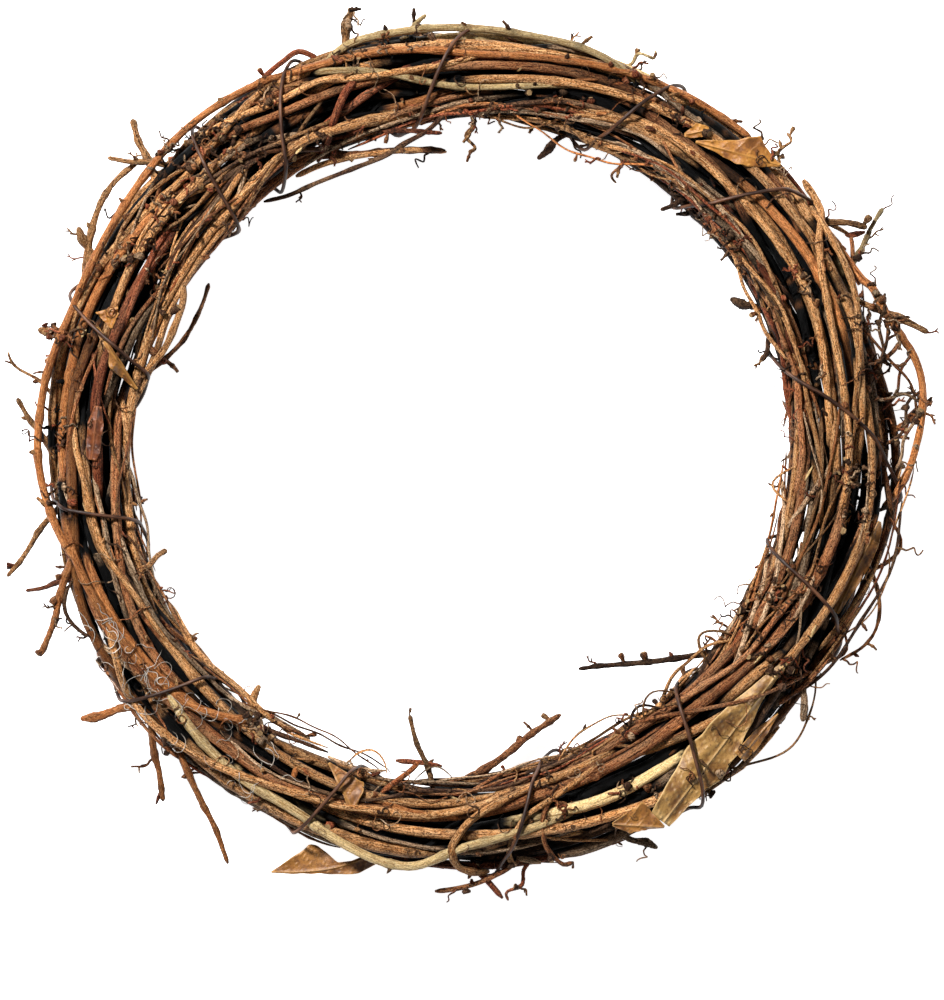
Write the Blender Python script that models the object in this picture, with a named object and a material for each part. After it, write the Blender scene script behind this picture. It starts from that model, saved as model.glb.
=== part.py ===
"""Grapevine wreath lying flat, front face up.

Long bare vines are laid round a ring, every one a piece of its own. One thin wire winds round
the whole bundle and holds it. Dry leaves and a strip of bark are caught between the vines, and
side twigs, cut stubs and tendrils stand out from the vines that they grew on.

Places are given as a bearing in degrees round the ring, anticlockwise from +X as seen from
above, with a radius and a height in millimetres. The meshes are written in metres.
"""

import math
import random
from dataclasses import dataclass, field

import bmesh
import bpy
import numpy as np
from mathutils import Vector

MM = 0.001
SEED = 23

# The ring and its bundle, in millimetres
RING_CENTRE = (3.7, -1.9)
BAND_BEARINGS = (0, 30, 60, 90, 120, 150, 180, 210, 240, 270, 300, 330)
BAND_INNER = (105, 112, 117, 121, 117, 119, 123, 119, 114, 109, 105, 104)
BAND_OUTER = (153, 148, 149, 151, 154, 154, 151, 153, 146, 146, 143, 142)
BUNDLE_DEPTH = 27.0
BUNDLE_SQUARENESS = 2.6

# The wire that binds it
WIRE_DIAMETER = 1.6
WIRE_SIDES = 5
WIRE_CORNERS = 14
GAP = 0.4
WIRE_FLAT = 0.5 * WIRE_DIAMETER * math.cos(math.pi / WIRE_SIDES)
BUNDLE_BOTTOM = WIRE_FLAT + 0.5 * WIRE_DIAMETER + GAP
BUNDLE_MIDDLE = BUNDLE_BOTTOM + 0.5 * BUNDLE_DEPTH
# Bearings where each turn of the wire passes the outer edge, then the inner edge, over the front
WIRE_TURNS = (
    (37.5, 52.7), (61.4, 71.6), (90, 103), (115, 126.7), (130.5, 137), (157.4, 166.8),
    (185, 191), (213, 220), (242.5, 249), (271.5, 282), (301, 312), (333, 344.6), (355.9, 381.4),
)

# Vines are sampled on these bearing planes
PLANES = 36
PLANE_STEP = 360 / PLANES
VINE_SIDES = 5
TUCK_STEPS = 3
TUCK_DROP = 3.5
VINE_TAPER = 0.8
# A joint comes on every third plane, and is this much thicker
JOINT_EVERY = 3
JOINT_SWELL = 1.08

# How the vines settle: rounds, tested places between two planes, and how hard they push
SOFT_ROUNDS = 260
HARD_ROUNDS = 240
BLENDS = tuple(part / 6 for part in range(6))
PUSH = 0.25
STIFFNESS = 0.07
HOMING = 0.03

# How the leaves are draped
LEAF_THICKNESS = 0.9
DRAPE_ROUNDS = 300
SETTLE_ROUNDS = 200
LEAF_DROP = 0.06
LEAF_STIFFNESS = 0.25
# Where a leaf's surface is tested in each of its triangles
BARYCENTRIC = [(a / 4, b / 4, (4 - a - b) / 4) for a in range(5) for b in range(5 - a)]

# How the wire is pulled tight
FLAT_BELOW = 0.35
SLACK = 5.0
WIRE_LEAD = 8
PULL = 0.4
PULL_ROUNDS = 160
CLEAR_ROUNDS = 60
# How far round the ring, in degrees, a ball can be and still touch a point of the wire
WIRE_WINDOW = 3.0
WIRE_BLENDS = (0.0, 0.25, 0.5, 0.75)

# Side twigs: their shape, and the places that are tried for each
TWIG_SIDES = 4
TWIG_TAPER = 0.35
TWIG_KINKS = (0.5, -0.4)
BUD_SWELL = 1.45
CURL_SIZE = 2.4
HOSTS_TRIED = 8
HOST_SHARE = 1.15
LEAST_TIP_HEIGHT = 2.5
ROOT_SHIFTS = (0, 1.5, -1.5, 3, -3, 5, -5)
LIFTS = (0, 2, -2, 4, -4, 7, -7, 10)

# Balls that stand for each step of a vine, the wire and a twig
VINE_BALLS = 16
WIRE_BALLS = 8
TWIG_BALLS = 6

# Bark and leaf colours (linear) with their roughness
BARKS = {
    "tan": ((0.33, 0.17, 0.08), 0.75),
    "brown": ((0.19, 0.08, 0.035), 0.7),
    "red_brown": ((0.24, 0.07, 0.03), 0.65),
    "orange": ((0.38, 0.15, 0.05), 0.65),
    "grey_brown": ((0.22, 0.15, 0.1), 0.85),
    "straw": ((0.56, 0.39, 0.18), 0.6),
    "dark": ((0.07, 0.035, 0.02), 0.8),
}
WIRE_COLOUR = ((0.06, 0.03, 0.02), 0.55)

# Front vines: bark, diameter and the (bearing, radius) places that the eye follows
FRONT_VINES = {
    "vine_straw": ("straw", 4.6, ((220, 137), (233, 140), (245, 141), (255, 144), (260, 143),
                                  (265, 138), (270, 134), (278, 130), (290, 127), (303, 125))),
    "vine_top_arc": ("tan", 4.2, ((52, 147), (60, 147), (70, 145), (80, 143), (90, 142),
                                  (100, 144), (110, 148), (120, 151), (130, 152), (150, 152),
                                  (170, 149))),
    "vine_top_cross": ("tan", 3.6, ((105, 147), (120, 141), (140, 140), (150, 141))),
    "vine_top_dark": ("brown", 3.4, ((60, 144), (70, 138), (80, 137), (93, 139), (100, 139),
                                     (110, 140), (115, 143), (125, 146), (130, 148))),
    "vine_pale_cross": ("tan", 3.4, ((8, 130), (13, 135), (20, 140), (30, 143), (40, 142),
                                     (57, 140), (60, 138), (70, 137), (78, 135), (85, 132),
                                     (90, 130), (100, 135), (108, 142), (113, 145))),
    "vine_left_outer": ("orange", 3.8, ((128, 144), (133, 142), (140, 144), (145, 146), (152, 148),
                                        (160, 149), (170, 148), (180, 147), (190, 145), (198, 143),
                                        (205, 140), (212, 137), (220, 132), (225, 127))),
    "vine_long_brown": ("brown", 4.4, ((-154, 144), (-145, 147), (-138, 144), (-125, 137),
                                       (-115, 132), (-104, 128), (-90, 124), (-80, 117),
                                       (-70, 113), (-60, 112), (-52, 112), (-38, 119),
                                       (-30, 122), (-18, 126), (-10, 129), (0, 128), (10, 128),
                                       (22, 130), (27, 134), (32, 141), (37, 145))),
    "vine_right_rough": ("tan", 4.4, ((-138, 145), (-117, 143), (-100, 142), (-84, 135),
                                      (-82, 126), (-76, 119), (-70, 116), (-62, 115),
                                      (-48, 121), (-17, 123), (0, 122), (10, 123), (20, 127),
                                      (30, 129), (50, 130), (67, 131))),
    "vine_lower_left": ("tan", 3.6, ((180, 141), (190, 144), (195, 140), (200, 132), (207, 127),
                                     (215, 124), (232, 125), (250, 126), (262, 123), (287, 109),
                                     (295, 111), (310, 119), (325, 125), (340, 134), (347, 139),
                                     (352, 140))),
    "vine_right_inner": ("orange", 3.4, ((-32, 116), (-10, 118), (0, 120), (25, 118),
                                         (35, 120), (42, 124), (52, 127))),
    "vine_inner_brown": ("brown", 3.6, ((-60, 108), (-30, 109), (0, 114), (10, 116), (30, 117),
                                        (40, 120), (50, 122))),
    "vine_inner_tan": ("tan", 3.4, ((-20, 107), (0, 110), (10, 113), (20, 114), (27, 116))),
    "vine_left_inner": ("brown", 3.6, ((138, 120), (145, 122), (164, 121), (180, 126),
                                       (196, 131), (209, 135))),
    "vine_left_rough": ("tan", 4.0, ((90, 123), (110, 123), (130, 124), (148, 122),
                                     (165, 123), (180, 125), (195, 125))),
    "vine_red_diagonal": ("red_brown", 3.4, ((100, 143), (110, 136), (114, 127), (120, 121))),
    "vine_orange_right": ("orange", 3.8, ((22, 133), (30, 136), (38, 135), (44, 133))),
    "vine_lower_right": ("tan", 4.0, ((250, 132), (270, 130), (280, 131), (298, 132))),
    "vine_top_pale": ("straw", 3.4, ((45, 148), (68, 146), (80, 149), (90, 150),
                                     (110, 151))),
}

# The other vines wander through the bundle behind the front ones
INNER_VINES = 19
INNER_LENGTH = (26, 46)
INNER_DIAMETER = (2.9, 4.0)
INNER_TWIST = (0.06, 0.2)
# They start in a spiral from the middle, a little low, and keep inside these shares
INNER_TURN = 0.618
INNER_SINK = 1.5
INNER_HEIGHT = 0.45
# Long and short swings of a vine, as shares of the bundle's half width, and radians a plane
SWAY = 0.22
SWAY_STEP = 0.45
RIPPLE = 0.12
RIPPLE_STEP = 1.3
# The bundle is this much wider and narrower for each vine in turn, so its edges are uneven
UNEVEN = 0.09
UNEVEN_PHASE = 2.4
INNER_BARKS = ("brown", "tan", "red_brown", "grey_brown", "dark", "orange")


@dataclass
class Vine:
    """One vine: where it starts, its bark, and its place on each bearing plane."""

    name: str
    bark: str
    first: int
    radius: np.ndarray
    place: np.ndarray
    twigs: list = field(default_factory=list)


def clear_scene():
    """Remove whatever the file opened with."""
    for item in list(bpy.data.objects):
        bpy.data.objects.remove(item, do_unlink=True)


def band(bearing):
    """Inner and outer radius of the bundle at a bearing."""
    inner = np.interp(bearing, BAND_BEARINGS, BAND_INNER, period=360)
    outer = np.interp(bearing, BAND_BEARINGS, BAND_OUTER, period=360)
    return inner, outer


def in_space(bearing, radius, height):
    """Point in millimetres of a place given round the ring."""
    angle = math.radians(bearing)
    return Vector((RING_CENTRE[0] + radius * math.cos(angle),
                   RING_CENTRE[1] + radius * math.sin(angle), height))


def front_height(bearing, radius, thickness):
    """Height of a vine that lies on the front of the bundle at this place."""
    inner, outer = band(bearing)
    across = (radius - 0.5 * (inner + outer)) / (0.5 * (outer - inner) - thickness)
    bulge = max(0.0, 1 - min(1.0, abs(across)) ** BUNDLE_SQUARENESS) ** (1 / BUNDLE_SQUARENESS)
    return BUNDLE_MIDDLE + (0.5 * BUNDLE_DEPTH - thickness) * bulge


def tapered(diameter, stations, rng):
    """Tube radius along a vine, thinner to its tip and a little thicker at its joints."""
    joint = rng.randrange(JOINT_EVERY)
    radius = np.linspace(1, VINE_TAPER, stations) * 0.5 * diameter
    radius[joint::JOINT_EVERY] *= JOINT_SWELL
    return radius


def front_vine(name, bark, diameter, places, rng):
    """Vine that shows on the front, with both ends tucked down into the bundle."""
    bearings = [place[0] for place in places]
    first = math.ceil(bearings[0] / PLANE_STEP) - TUCK_STEPS
    last = math.floor(bearings[-1] / PLANE_STEP) + TUCK_STEPS
    radius = tapered(diameter, last - first + 1, rng)
    home = []
    for station, thickness in enumerate(radius):
        bearing = (first + station) * PLANE_STEP
        across = np.interp(bearing, bearings, [place[1] for place in places])
        inner, outer = band(bearing)
        tuck = max(bearings[0] - bearing, bearing - bearings[-1], 0) / PLANE_STEP
        across += (0.5 * (inner + outer) - across) * min(1, tuck / (2 * TUCK_STEPS))
        home.append((across, front_height(bearing, across, thickness) - TUCK_DROP * tuck))
    return Vine(name, bark, first, radius, np.array(home))


def inner_vine(index, rng):
    """Vine that drifts slowly round inside the bundle, on a course of its own."""
    stations = rng.randint(*INNER_LENGTH)
    first = rng.randrange(PLANES)
    radius = tapered(rng.uniform(*INNER_DIAMETER), stations, rng)
    angle = math.tau * (0.5 + INNER_TURN * index)
    reach = math.sqrt((index + 0.5) / INNER_VINES)
    twist = rng.choice((-1, 1)) * rng.uniform(*INNER_TWIST)
    phase = rng.uniform(0, math.tau)
    ripple = rng.uniform(0, math.tau)
    home = []
    for station in range(stations):
        inner, outer = band((first + station) * PLANE_STEP)
        turn = angle + twist * station
        out = reach + SWAY * math.sin(phase + SWAY_STEP * station)
        out += RIPPLE * math.sin(ripple + RIPPLE_STEP * station)
        home.append((0.5 * (inner + outer) + out * 0.5 * (outer - inner) * math.cos(turn),
                     BUNDLE_MIDDLE - INNER_SINK
                     + out * INNER_HEIGHT * BUNDLE_DEPTH * math.sin(turn)))
    bark = INNER_BARKS[index % len(INNER_BARKS)]
    return Vine(f"vine_{index + 1:02d}", bark, first, radius, np.array(home))


def settle(vines):
    """Push the vines apart on and between the bearing planes, as packed vines part each other.

    Every vine is drawn to its own course, resists bending and stays inside the bundle.
    """
    count = [len(vine.radius) for vine in vines]
    plane = np.concatenate([(v.first + np.arange(n)) % PLANES for v, n in zip(vines, count)])
    size = np.concatenate([vine.radius for vine in vines])
    home = np.concatenate([vine.place for vine in vines])
    ends = np.cumsum(count) - 1
    starts = ends - np.array(count) + 1
    follower = np.arange(len(plane)) + 1
    follower[ends] = ends
    leader = np.arange(len(plane)) - 1
    leader[starts] = starts
    is_end = np.zeros(len(plane), bool)
    is_end[ends] = True
    free = np.ones(len(plane), bool)
    free[ends] = False
    free[starts] = False
    width = max(np.bincount(plane))
    table = np.zeros((PLANES, width), int)
    filled = np.zeros((PLANES, width), bool)
    for index in range(PLANES):
        here = np.flatnonzero(plane == index)
        table[index, :len(here)] = here
        filled[index, :len(here)] = True
    inner, outer = band(plane * PLANE_STEP)
    middle = np.stack([0.5 * (inner + outer), np.full(len(plane), BUNDLE_MIDDLE)], 1)
    owner = np.repeat(np.arange(len(vines)), count)
    uneven = 1 + UNEVEN * np.sin(np.radians(2 * plane * PLANE_STEP) + UNEVEN_PHASE * owner)
    room = np.stack([uneven * 0.5 * (outer - inner) - size, 0.5 * BUNDLE_DEPTH - size], 1)
    others = ~np.eye(width, dtype=bool)
    place = home.copy()
    for rounds in range(SOFT_ROUNDS + HARD_ROUNDS):
        shift = np.zeros_like(place)
        for blend in BLENDS:
            present = filled & ~is_end[table] if blend else filled
            spot = place[table] * (1 - blend) + place[follower[table]] * blend
            reach = size[table] * (1 - blend) + size[follower[table]] * blend
            apart = spot[:, :, None] - spot[:, None]
            distance = np.sqrt((apart ** 2).sum(-1)) + 1e-6
            lack = np.clip(reach[:, :, None] + reach[:, None] + GAP - distance, 0, None)
            lack *= present[:, :, None] & present[:, None] & others
            push = (apart * (lack / distance)[..., None]).sum(2)[present]
            np.add.at(shift, table[present], push * (1 - blend))
            np.add.at(shift, follower[table[present]], push * blend)
        place += PUSH * shift
        if rounds < SOFT_ROUNDS:
            bend = 0.5 * (place[leader] + place[follower]) - place
            place[free] += STIFFNESS * bend[free]
            place += HOMING * (home - place)
        offset = place - middle
        over = ((np.abs(offset) / room) ** BUNDLE_SQUARENESS).sum(1)
        scale = np.where(over > 1, over ** (-1 / BUNDLE_SQUARENESS), 1)
        place = middle + offset * scale[:, None]
    for vine, start, end in zip(vines, starts, ends):
        vine.place = place[start:end + 1]
    return vines


def mesh_object(name, points, faces, look):
    """Object with the given points (in millimetres), faces, and a material of its own."""
    mesh = bpy.data.meshes.new(name)
    mesh.from_pydata([tuple(Vector(point) * MM) for point in points], [], faces)
    mesh.validate()
    shape = bmesh.new()
    shape.from_mesh(mesh)
    bmesh.ops.recalc_face_normals(shape, faces=shape.faces)
    shape.to_mesh(mesh)
    shape.free()
    mesh.shade_smooth()
    colour, roughness = look
    material = bpy.data.materials.new(name)
    material.use_nodes = True
    shader = material.node_tree.nodes["Principled BSDF"]
    shader.inputs["Base Color"].default_value = (*colour, 1)
    shader.inputs["Roughness"].default_value = roughness
    shader.inputs["Metallic"].default_value = 0.0
    mesh.materials.append(material)
    item = bpy.data.objects.new(name, mesh)
    bpy.context.scene.collection.objects.link(item)
    return item


def tube_faces(rings, sides):
    """Faces of a closed tube made of rings of points."""
    faces = []
    for ring in range(rings - 1):
        for side in range(sides):
            near = ring * sides
            far = near + sides
            following = (side + 1) % sides
            faces.append((near + side, near + following, far + following, far + side))
    faces.append(tuple(reversed(range(sides))))
    faces.append(tuple((rings - 1) * sides + side for side in range(sides)))
    return faces


def build_vine(vine):
    """Tube of one vine, its sections lying in the bearing planes."""
    points = []
    for station, (across, height) in enumerate(vine.place):
        bearing = (vine.first + station) * PLANE_STEP
        for side in range(VINE_SIDES):
            angle = math.tau * (side + 0.25) / VINE_SIDES
            points.append(in_space(bearing, across + vine.radius[station] * math.cos(angle),
                                   height + vine.radius[station] * math.sin(angle)))
    return mesh_object(vine.name, points, tube_faces(len(vine.place), VINE_SIDES),
                       BARKS[vine.bark])


class Crowd:
    """Everything placed so far, as small balls along each tube or leaf, to keep clear of."""

    def __init__(self):
        self.centre = np.zeros((0, 3))
        self.radius = np.zeros(0)
        self.owner = np.zeros(0, dtype=object)

    def add(self, owner, points, radii):
        """Take in balls with these centres and radii, which belong to one piece."""
        self.centre = np.concatenate([self.centre, np.asarray(points, float)])
        self.radius = np.concatenate([self.radius, np.asarray(radii, float)])
        self.owner = np.concatenate([self.owner, np.full(len(points), owner, dtype=object)])

    def clearance(self, points, radii, owner):
        """Least distance from the given balls to any other piece than the owner."""
        other = self.owner != owner
        apart = np.linalg.norm(self.centre[other][None] - points[:, None], axis=2)
        return (apart - self.radius[other][None] - radii[:, None]).min()


def dense(points, radii, per_step):
    """Points and radii with more of them in between."""
    points, radii = np.asarray(points, float), np.asarray(radii, float)
    steps = np.arange((len(points) - 1) * per_step + 1) / per_step
    known = np.arange(len(points))
    along = np.stack([np.interp(steps, known, points[:, axis]) for axis in range(3)], 1)
    return along, np.interp(steps, known, radii)


def vine_line(vine):
    """Middle line of a vine in space."""
    return [in_space((vine.first + station) * PLANE_STEP, *place)
            for station, place in enumerate(vine.place)]


@dataclass
class Leaf:
    """One dry leaf or strip: its root and tip as (bearing, radius), its outline and colour.

    The outline is a half width at shares of the length, left and right of the midrib.
    """

    name: str
    look: tuple
    root: tuple
    tip: tuple
    left: tuple
    right: tuple
    rows: int = 7
    columns: int = 3
    over: bool = True
    bow: float = 0.0
    sag: float = 7.0


LEAVES = (
    Leaf("leaf_oak", ((0.5, 0.29, 0.1), 0.55), (296.7, 142), (327.3, 128),
         ((0, 5.5), (0.1, 6.8), (0.31, 8.9), (0.41, 9.1), (0.61, 7.4), (0.85, 3.4), (1, 0.4)),
         ((0, 2.5), (0.13, 3.6), (0.23, 4.8), (0.33, 6.8), (0.47, 6.4), (0.6, 3.8), (0.76, 1.6),
          (1, 0.4)), 15, 5),
    Leaf("leaf_oak_lobe", ((0.36, 0.17, 0.05), 0.55), (311, 138), (319.5, 137),
         ((0, 2.6), (0.5, 2.4), (1, 0.3)), ((0, 2.2), (0.4, 2.6), (1, 0.3))),
    Leaf("leaf_brown_shard", ((0.3, 0.11, 0.03), 0.55), (289.8, 135.4), (296.5, 143.5),
         ((0, 0.5), (0.56, 8.6), (1, 0.3)), ((0, 0.5), (0.35, 2.8), (0.67, 1.1), (1, 0.3))),
    Leaf("leaf_low_outer", ((0.3, 0.14, 0.06), 0.6), (257, 140), (243, 163),
         ((0, 3), (0.3, 4.2), (0.63, 1), (1, 0.3)),
         ((0, 2), (0.34, 0.6), (0.46, 1.7), (0.52, 5.4), (0.59, 8.8), (0.65, 9.2), (0.83, 4.8),
          (1, 0.3)), 12, over=False, bow=3.0, sag=12),
    Leaf("leaf_low_small", ((0.3, 0.13, 0.05), 0.6), (249.8, 129.8), (243.3, 118.5),
         ((0, 1.2), (0.42, 0.4), (0.67, 0.6), (1, 0.3)),
         ((0, 1.5), (0.23, 6.5), (0.35, 7.6), (1, 0.3))),
    Leaf("leaf_right_fold", ((0.34, 0.15, 0.05), 0.55), (336.7, 136.5), (351.3, 142),
         ((0, 1.5), (0.35, 1.8), (0.67, 1.0), (1, 0.5)),
         ((0, 0.8), (0.38, 2.8), (0.54, 3.8), (0.74, 3.4), (0.93, 2.3), (1, 0.8)), 8, sag=15),
    Leaf("leaf_upper_gold", ((0.52, 0.26, 0.07), 0.5), (56, 134), (44.5, 147),
         ((0, 0.5), (0.38, 3.7), (0.7, 8.0), (0.76, 5.7), (0.93, 1.2), (1, 0.4)),
         ((0, 0.4), (0.23, 1.5), (0.49, 3.8), (0.75, 2.9), (0.94, 0.8), (1, 0.4)), 9),
    Leaf("leaf_upper_pale", ((0.56, 0.36, 0.12), 0.55), (58, 134), (55.3, 140.1),
         ((0, 0.4), (0.55, 3.3), (1, 1.2)), ((0, 0.4), (0.21, 1.6), (0.8, 2.0), (1, 1.2)), 5),
    Leaf("leaf_left_pointed", ((0.4, 0.18, 0.06), 0.5), (161, 142.5), (168.4, 123),
         ((0, 1.0), (0.59, 0.8), (1, 0.3)),
         ((0, 0.8), (0.4, 1.0), (0.5, 3.0), (0.55, 3.6), (0.69, 2.8), (0.92, 1.2), (1, 0.3)), 10),
    Leaf("leaf_left_small", ((0.42, 0.26, 0.1), 0.55), (158.1, 141.1), (160.4, 137.2),
         ((0, 4.1), (0.35, 3.6), (1, 0.4)), ((0, 4.0), (1, 0.3)), 5),
    Leaf("bark_strip", ((0.3, 0.09, 0.035), 0.7), (172, 135), (180, 136.2),
         ((0, 1.2), (0.3, 2.6), (0.8, 2.8), (1, 2.0)),
         ((0, 1.2), (0.3, 2.8), (0.7, 2.6), (1, 1.6))),
)


def leaf_outline(leaf):
    """Left and right half width at each row of a leaf."""
    along = np.linspace(0, 1, leaf.rows)
    return [np.interp(along, *zip(*side)) for side in (leaf.left, leaf.right)]


def leaf_plan(leaf):
    """Points of a leaf as seen from above, row by row from its root to its tip."""
    root = in_space(*leaf.root, 0)
    tip = in_space(*leaf.tip, 0)
    way = tip - root
    side = Vector((-way.y, way.x, 0)).normalized()
    left, right = leaf_outline(leaf)
    points = []
    for row in range(leaf.rows):
        along = row / (leaf.rows - 1)
        rib = root + way * along + side * leaf.bow * math.sin(math.pi * along)
        for column in range(leaf.columns):
            across = 2 * column / (leaf.columns - 1) - 1
            width = left[row] if across > 0 else right[row]
            points.append(rib + side * across * width)
    return np.array([tuple(point)[:2] for point in points])


def leaf_triangles(leaf):
    """Triangles of one face of a leaf."""
    triangles = []
    for row in range(leaf.rows - 1):
        for column in range(leaf.columns - 1):
            near = row * leaf.columns + column
            far = near + leaf.columns
            triangles.append((near, near + 1, far + 1))
            triangles.append((near, far + 1, far))
    return triangles


def drape(leaf, crowd):
    """Heights of a leaf's points when it is laid on the vines, or pressed up from below."""
    plan = leaf_plan(leaf)
    triangles = np.array(leaf_triangles(leaf))
    weights = np.zeros((len(triangles) * len(BARYCENTRIC), len(plan)))
    for index, (triangle, share) in enumerate((t, s) for t in triangles for s in BARYCENTRIC):
        weights[index, triangle] = share
    way = 1 if leaf.over else -1
    spots = weights @ plan
    flat = np.linalg.norm(crowd.centre[None, :, :2] - spots[:, None], axis=2)
    reach = crowd.radius[None] + GAP
    top = np.where(flat < reach, way * crowd.centre[None, :, 2]
                   + np.sqrt(np.clip(reach ** 2 - flat ** 2, 0, None)), -1e3).max(1)
    lowest = way * BUNDLE_MIDDLE + 0.5 * BUNDLE_DEPTH - leaf.sag
    floor = np.maximum(top, lowest)
    height = np.full(len(plan), floor.max())
    neighbours = np.zeros((len(plan), len(plan)))
    for a, b, c in triangles:
        for one, two in ((a, b), (b, c), (c, a)):
            neighbours[one, two] = neighbours[two, one] = 1
    neighbours /= neighbours.sum(1, keepdims=True)
    pull = weights / (weights ** 2).sum(1, keepdims=True)
    for rounds in range(DRAPE_ROUNDS + SETTLE_ROUNDS):
        if rounds < DRAPE_ROUNDS:
            height -= LEAF_DROP
            height += LEAF_STIFFNESS * (neighbours @ height - height)
        lack = np.clip(floor - weights @ height, 0, None)
        height += (pull * lack[:, None]).max(0)
    return plan, way * height


def build_leaf(leaf, crowd):
    """Leaf with an upper and a lower face, and the balls that stand for it."""
    plan, height = drape(leaf, crowd)
    low = height if leaf.over else height - LEAF_THICKNESS
    under = [Vector((x, y, z)) for (x, y), z in zip(plan, low)]
    upper = [point + Vector((0, 0, LEAF_THICKNESS)) for point in under]
    count = len(plan)
    triangles = leaf_triangles(leaf)
    faces = [(a + count, b + count, c + count) for a, b, c in triangles]
    faces += [(c, b, a) for a, b, c in triangles]
    rim = list(range(leaf.columns))
    rim += [row * leaf.columns + leaf.columns - 1 for row in range(1, leaf.rows)]
    rim += [(leaf.rows - 1) * leaf.columns + column for column in range(leaf.columns - 2, -1, -1)]
    rim += [row * leaf.columns for row in range(leaf.rows - 2, 0, -1)]
    for place, here in enumerate(rim):
        there = rim[(place + 1) % len(rim)]
        faces.append((here, there, there + count))
        faces.append((here, there + count, here + count))
    item = mesh_object(leaf.name, under + upper, faces, leaf.look)
    balls = []
    for a, b, c in triangles:
        for share in BARYCENTRIC:
            balls.append(sum((0.5 * (under[corner] + upper[corner]) * part
                              for corner, part in zip((a, b, c), share)), Vector()))
    return item, balls


def wire_bearing(turning):
    """Bearing of the wire after it has turned this many half turns round the bundle."""
    marks = [turn[0] for turn in WIRE_TURNS] + [turn[1] for turn in WIRE_TURNS]
    halves = [2 * index for index in range(len(WIRE_TURNS))]
    halves += [2 * index + 1 for index in range(len(WIRE_TURNS))]
    known = sorted(zip(halves, marks))
    first, last = known[0], known[-1]
    known = [(first[0] - 1, first[1] - WIRE_LEAD)] + known + [(last[0] + 1, last[1] + WIRE_LEAD)]
    return np.interp(turning, [half for half, _ in known], [mark for _, mark in known])


def wire_line(crowd, outside):
    """Corners of the wire, pulled tight round the bundle, and the way out at each corner.

    The wire starts as a slack coil and shortens until the vines and leaves inside it stop it.
    """
    bound = ~np.isin(crowd.owner, outside)
    centre, thick = crowd.centre[bound], crowd.radius[bound]
    bearing = np.degrees(np.arctan2(centre[:, 1] - RING_CENTRE[1], centre[:, 0] - RING_CENTRE[0]))
    step = 2 / WIRE_CORNERS
    turning = np.arange(0.5 * step - 0.5, 2 * len(WIRE_TURNS) - 0.5, step)
    here = wire_bearing(turning)
    angle = np.radians(here)
    way = np.stack([np.cos(math.pi * turning), np.sin(math.pi * turning)], 1)
    inner, outer = band(here)
    place = np.stack([0.5 * (inner + outer) + (0.5 * (outer - inner) + SLACK) * way[:, 0],
                      BUNDLE_MIDDLE + (0.5 * BUNDLE_DEPTH + SLACK) * way[:, 1]], 1)
    bottom = way[:, 1] < -math.cos(1.1 * math.pi / WIRE_CORNERS)
    near = []
    for blend in WIRE_BLENDS:
        spot = here[:-1] * (1 - blend) + here[1:] * blend
        off = np.abs((bearing[None] - spot[:, None] + 180) % 360 - 180) < WIRE_WINDOW
        width = off.sum(1).max()
        near.append((np.argsort(~off, axis=1, kind="stable")[:, :width],
                     np.arange(width)[None] < off.sum(1)[:, None]))
    for rounds in range(PULL_ROUNDS + CLEAR_ROUNDS):
        if rounds < PULL_ROUNDS:
            place[1:-1] += PULL * (0.5 * (place[:-2] + place[2:]) - place[1:-1])
        for blend, (index, present) in zip(WIRE_BLENDS, near):
            place[:, 1] = np.where(bottom, WIRE_FLAT, np.maximum(place[:, 1], WIRE_FLAT))
            line = np.stack([RING_CENTRE[0] + place[:, 0] * np.cos(angle),
                             RING_CENTRE[1] + place[:, 0] * np.sin(angle), place[:, 1]], 1)
            spot = line[:-1] * (1 - blend) + line[1:] * blend
            apart = np.linalg.norm(centre[index] - spot[:, None], axis=2)
            lack = thick[index] + 0.5 * WIRE_DIAMETER + GAP - apart
            lack = np.clip(np.where(present, lack, 0).max(1), 0, None)[:, None]
            place[:-1] += way[:-1] * lack * (1 - blend)
            place[1:] += way[1:] * lack * blend
    place[:, 1] = np.where(bottom, WIRE_FLAT, np.maximum(place[:, 1], WIRE_FLAT))
    corners = [in_space(at, *spot) for at, spot in zip(here, place)]
    ways = [Vector((out * math.cos(turn), out * math.sin(turn), up))
            for turn, (out, up) in zip(angle, way)]
    return corners, ways


def build_wire(corners, ways):
    """Wire with a flat side turned out, so that it rests flat under the bundle."""
    points = []
    mitre = 1 / math.cos(math.pi / WIRE_CORNERS)
    for index, (corner, way) in enumerate(zip(corners, ways)):
        before = corners[max(index - 1, 0)]
        after = corners[min(index + 1, len(corners) - 1)]
        along = (after - before).normalized()
        side = along.cross(way).normalized()
        out = side.cross(along)
        for turn in range(WIRE_SIDES):
            angle = math.tau * (turn + 0.5) / WIRE_SIDES
            point = corner + 0.5 * WIRE_DIAMETER * (out * math.cos(angle) * mitre
                                                    + side * math.sin(angle))
            if point.z < FLAT_BELOW:
                point.z = 0.0
            points.append(point)
    return mesh_object("binding_wire", points, tube_faces(len(corners), WIRE_SIDES), WIRE_COLOUR)


@dataclass
class Twig:
    """Side twig, stub or tendril: where it leaves the bundle and where its tip is."""

    root: tuple
    tip: tuple
    diameter: float
    via: tuple = None
    level: float = 4.0
    lift: float = 0.0
    bud: bool = False
    curls: float = 0.0


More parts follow.
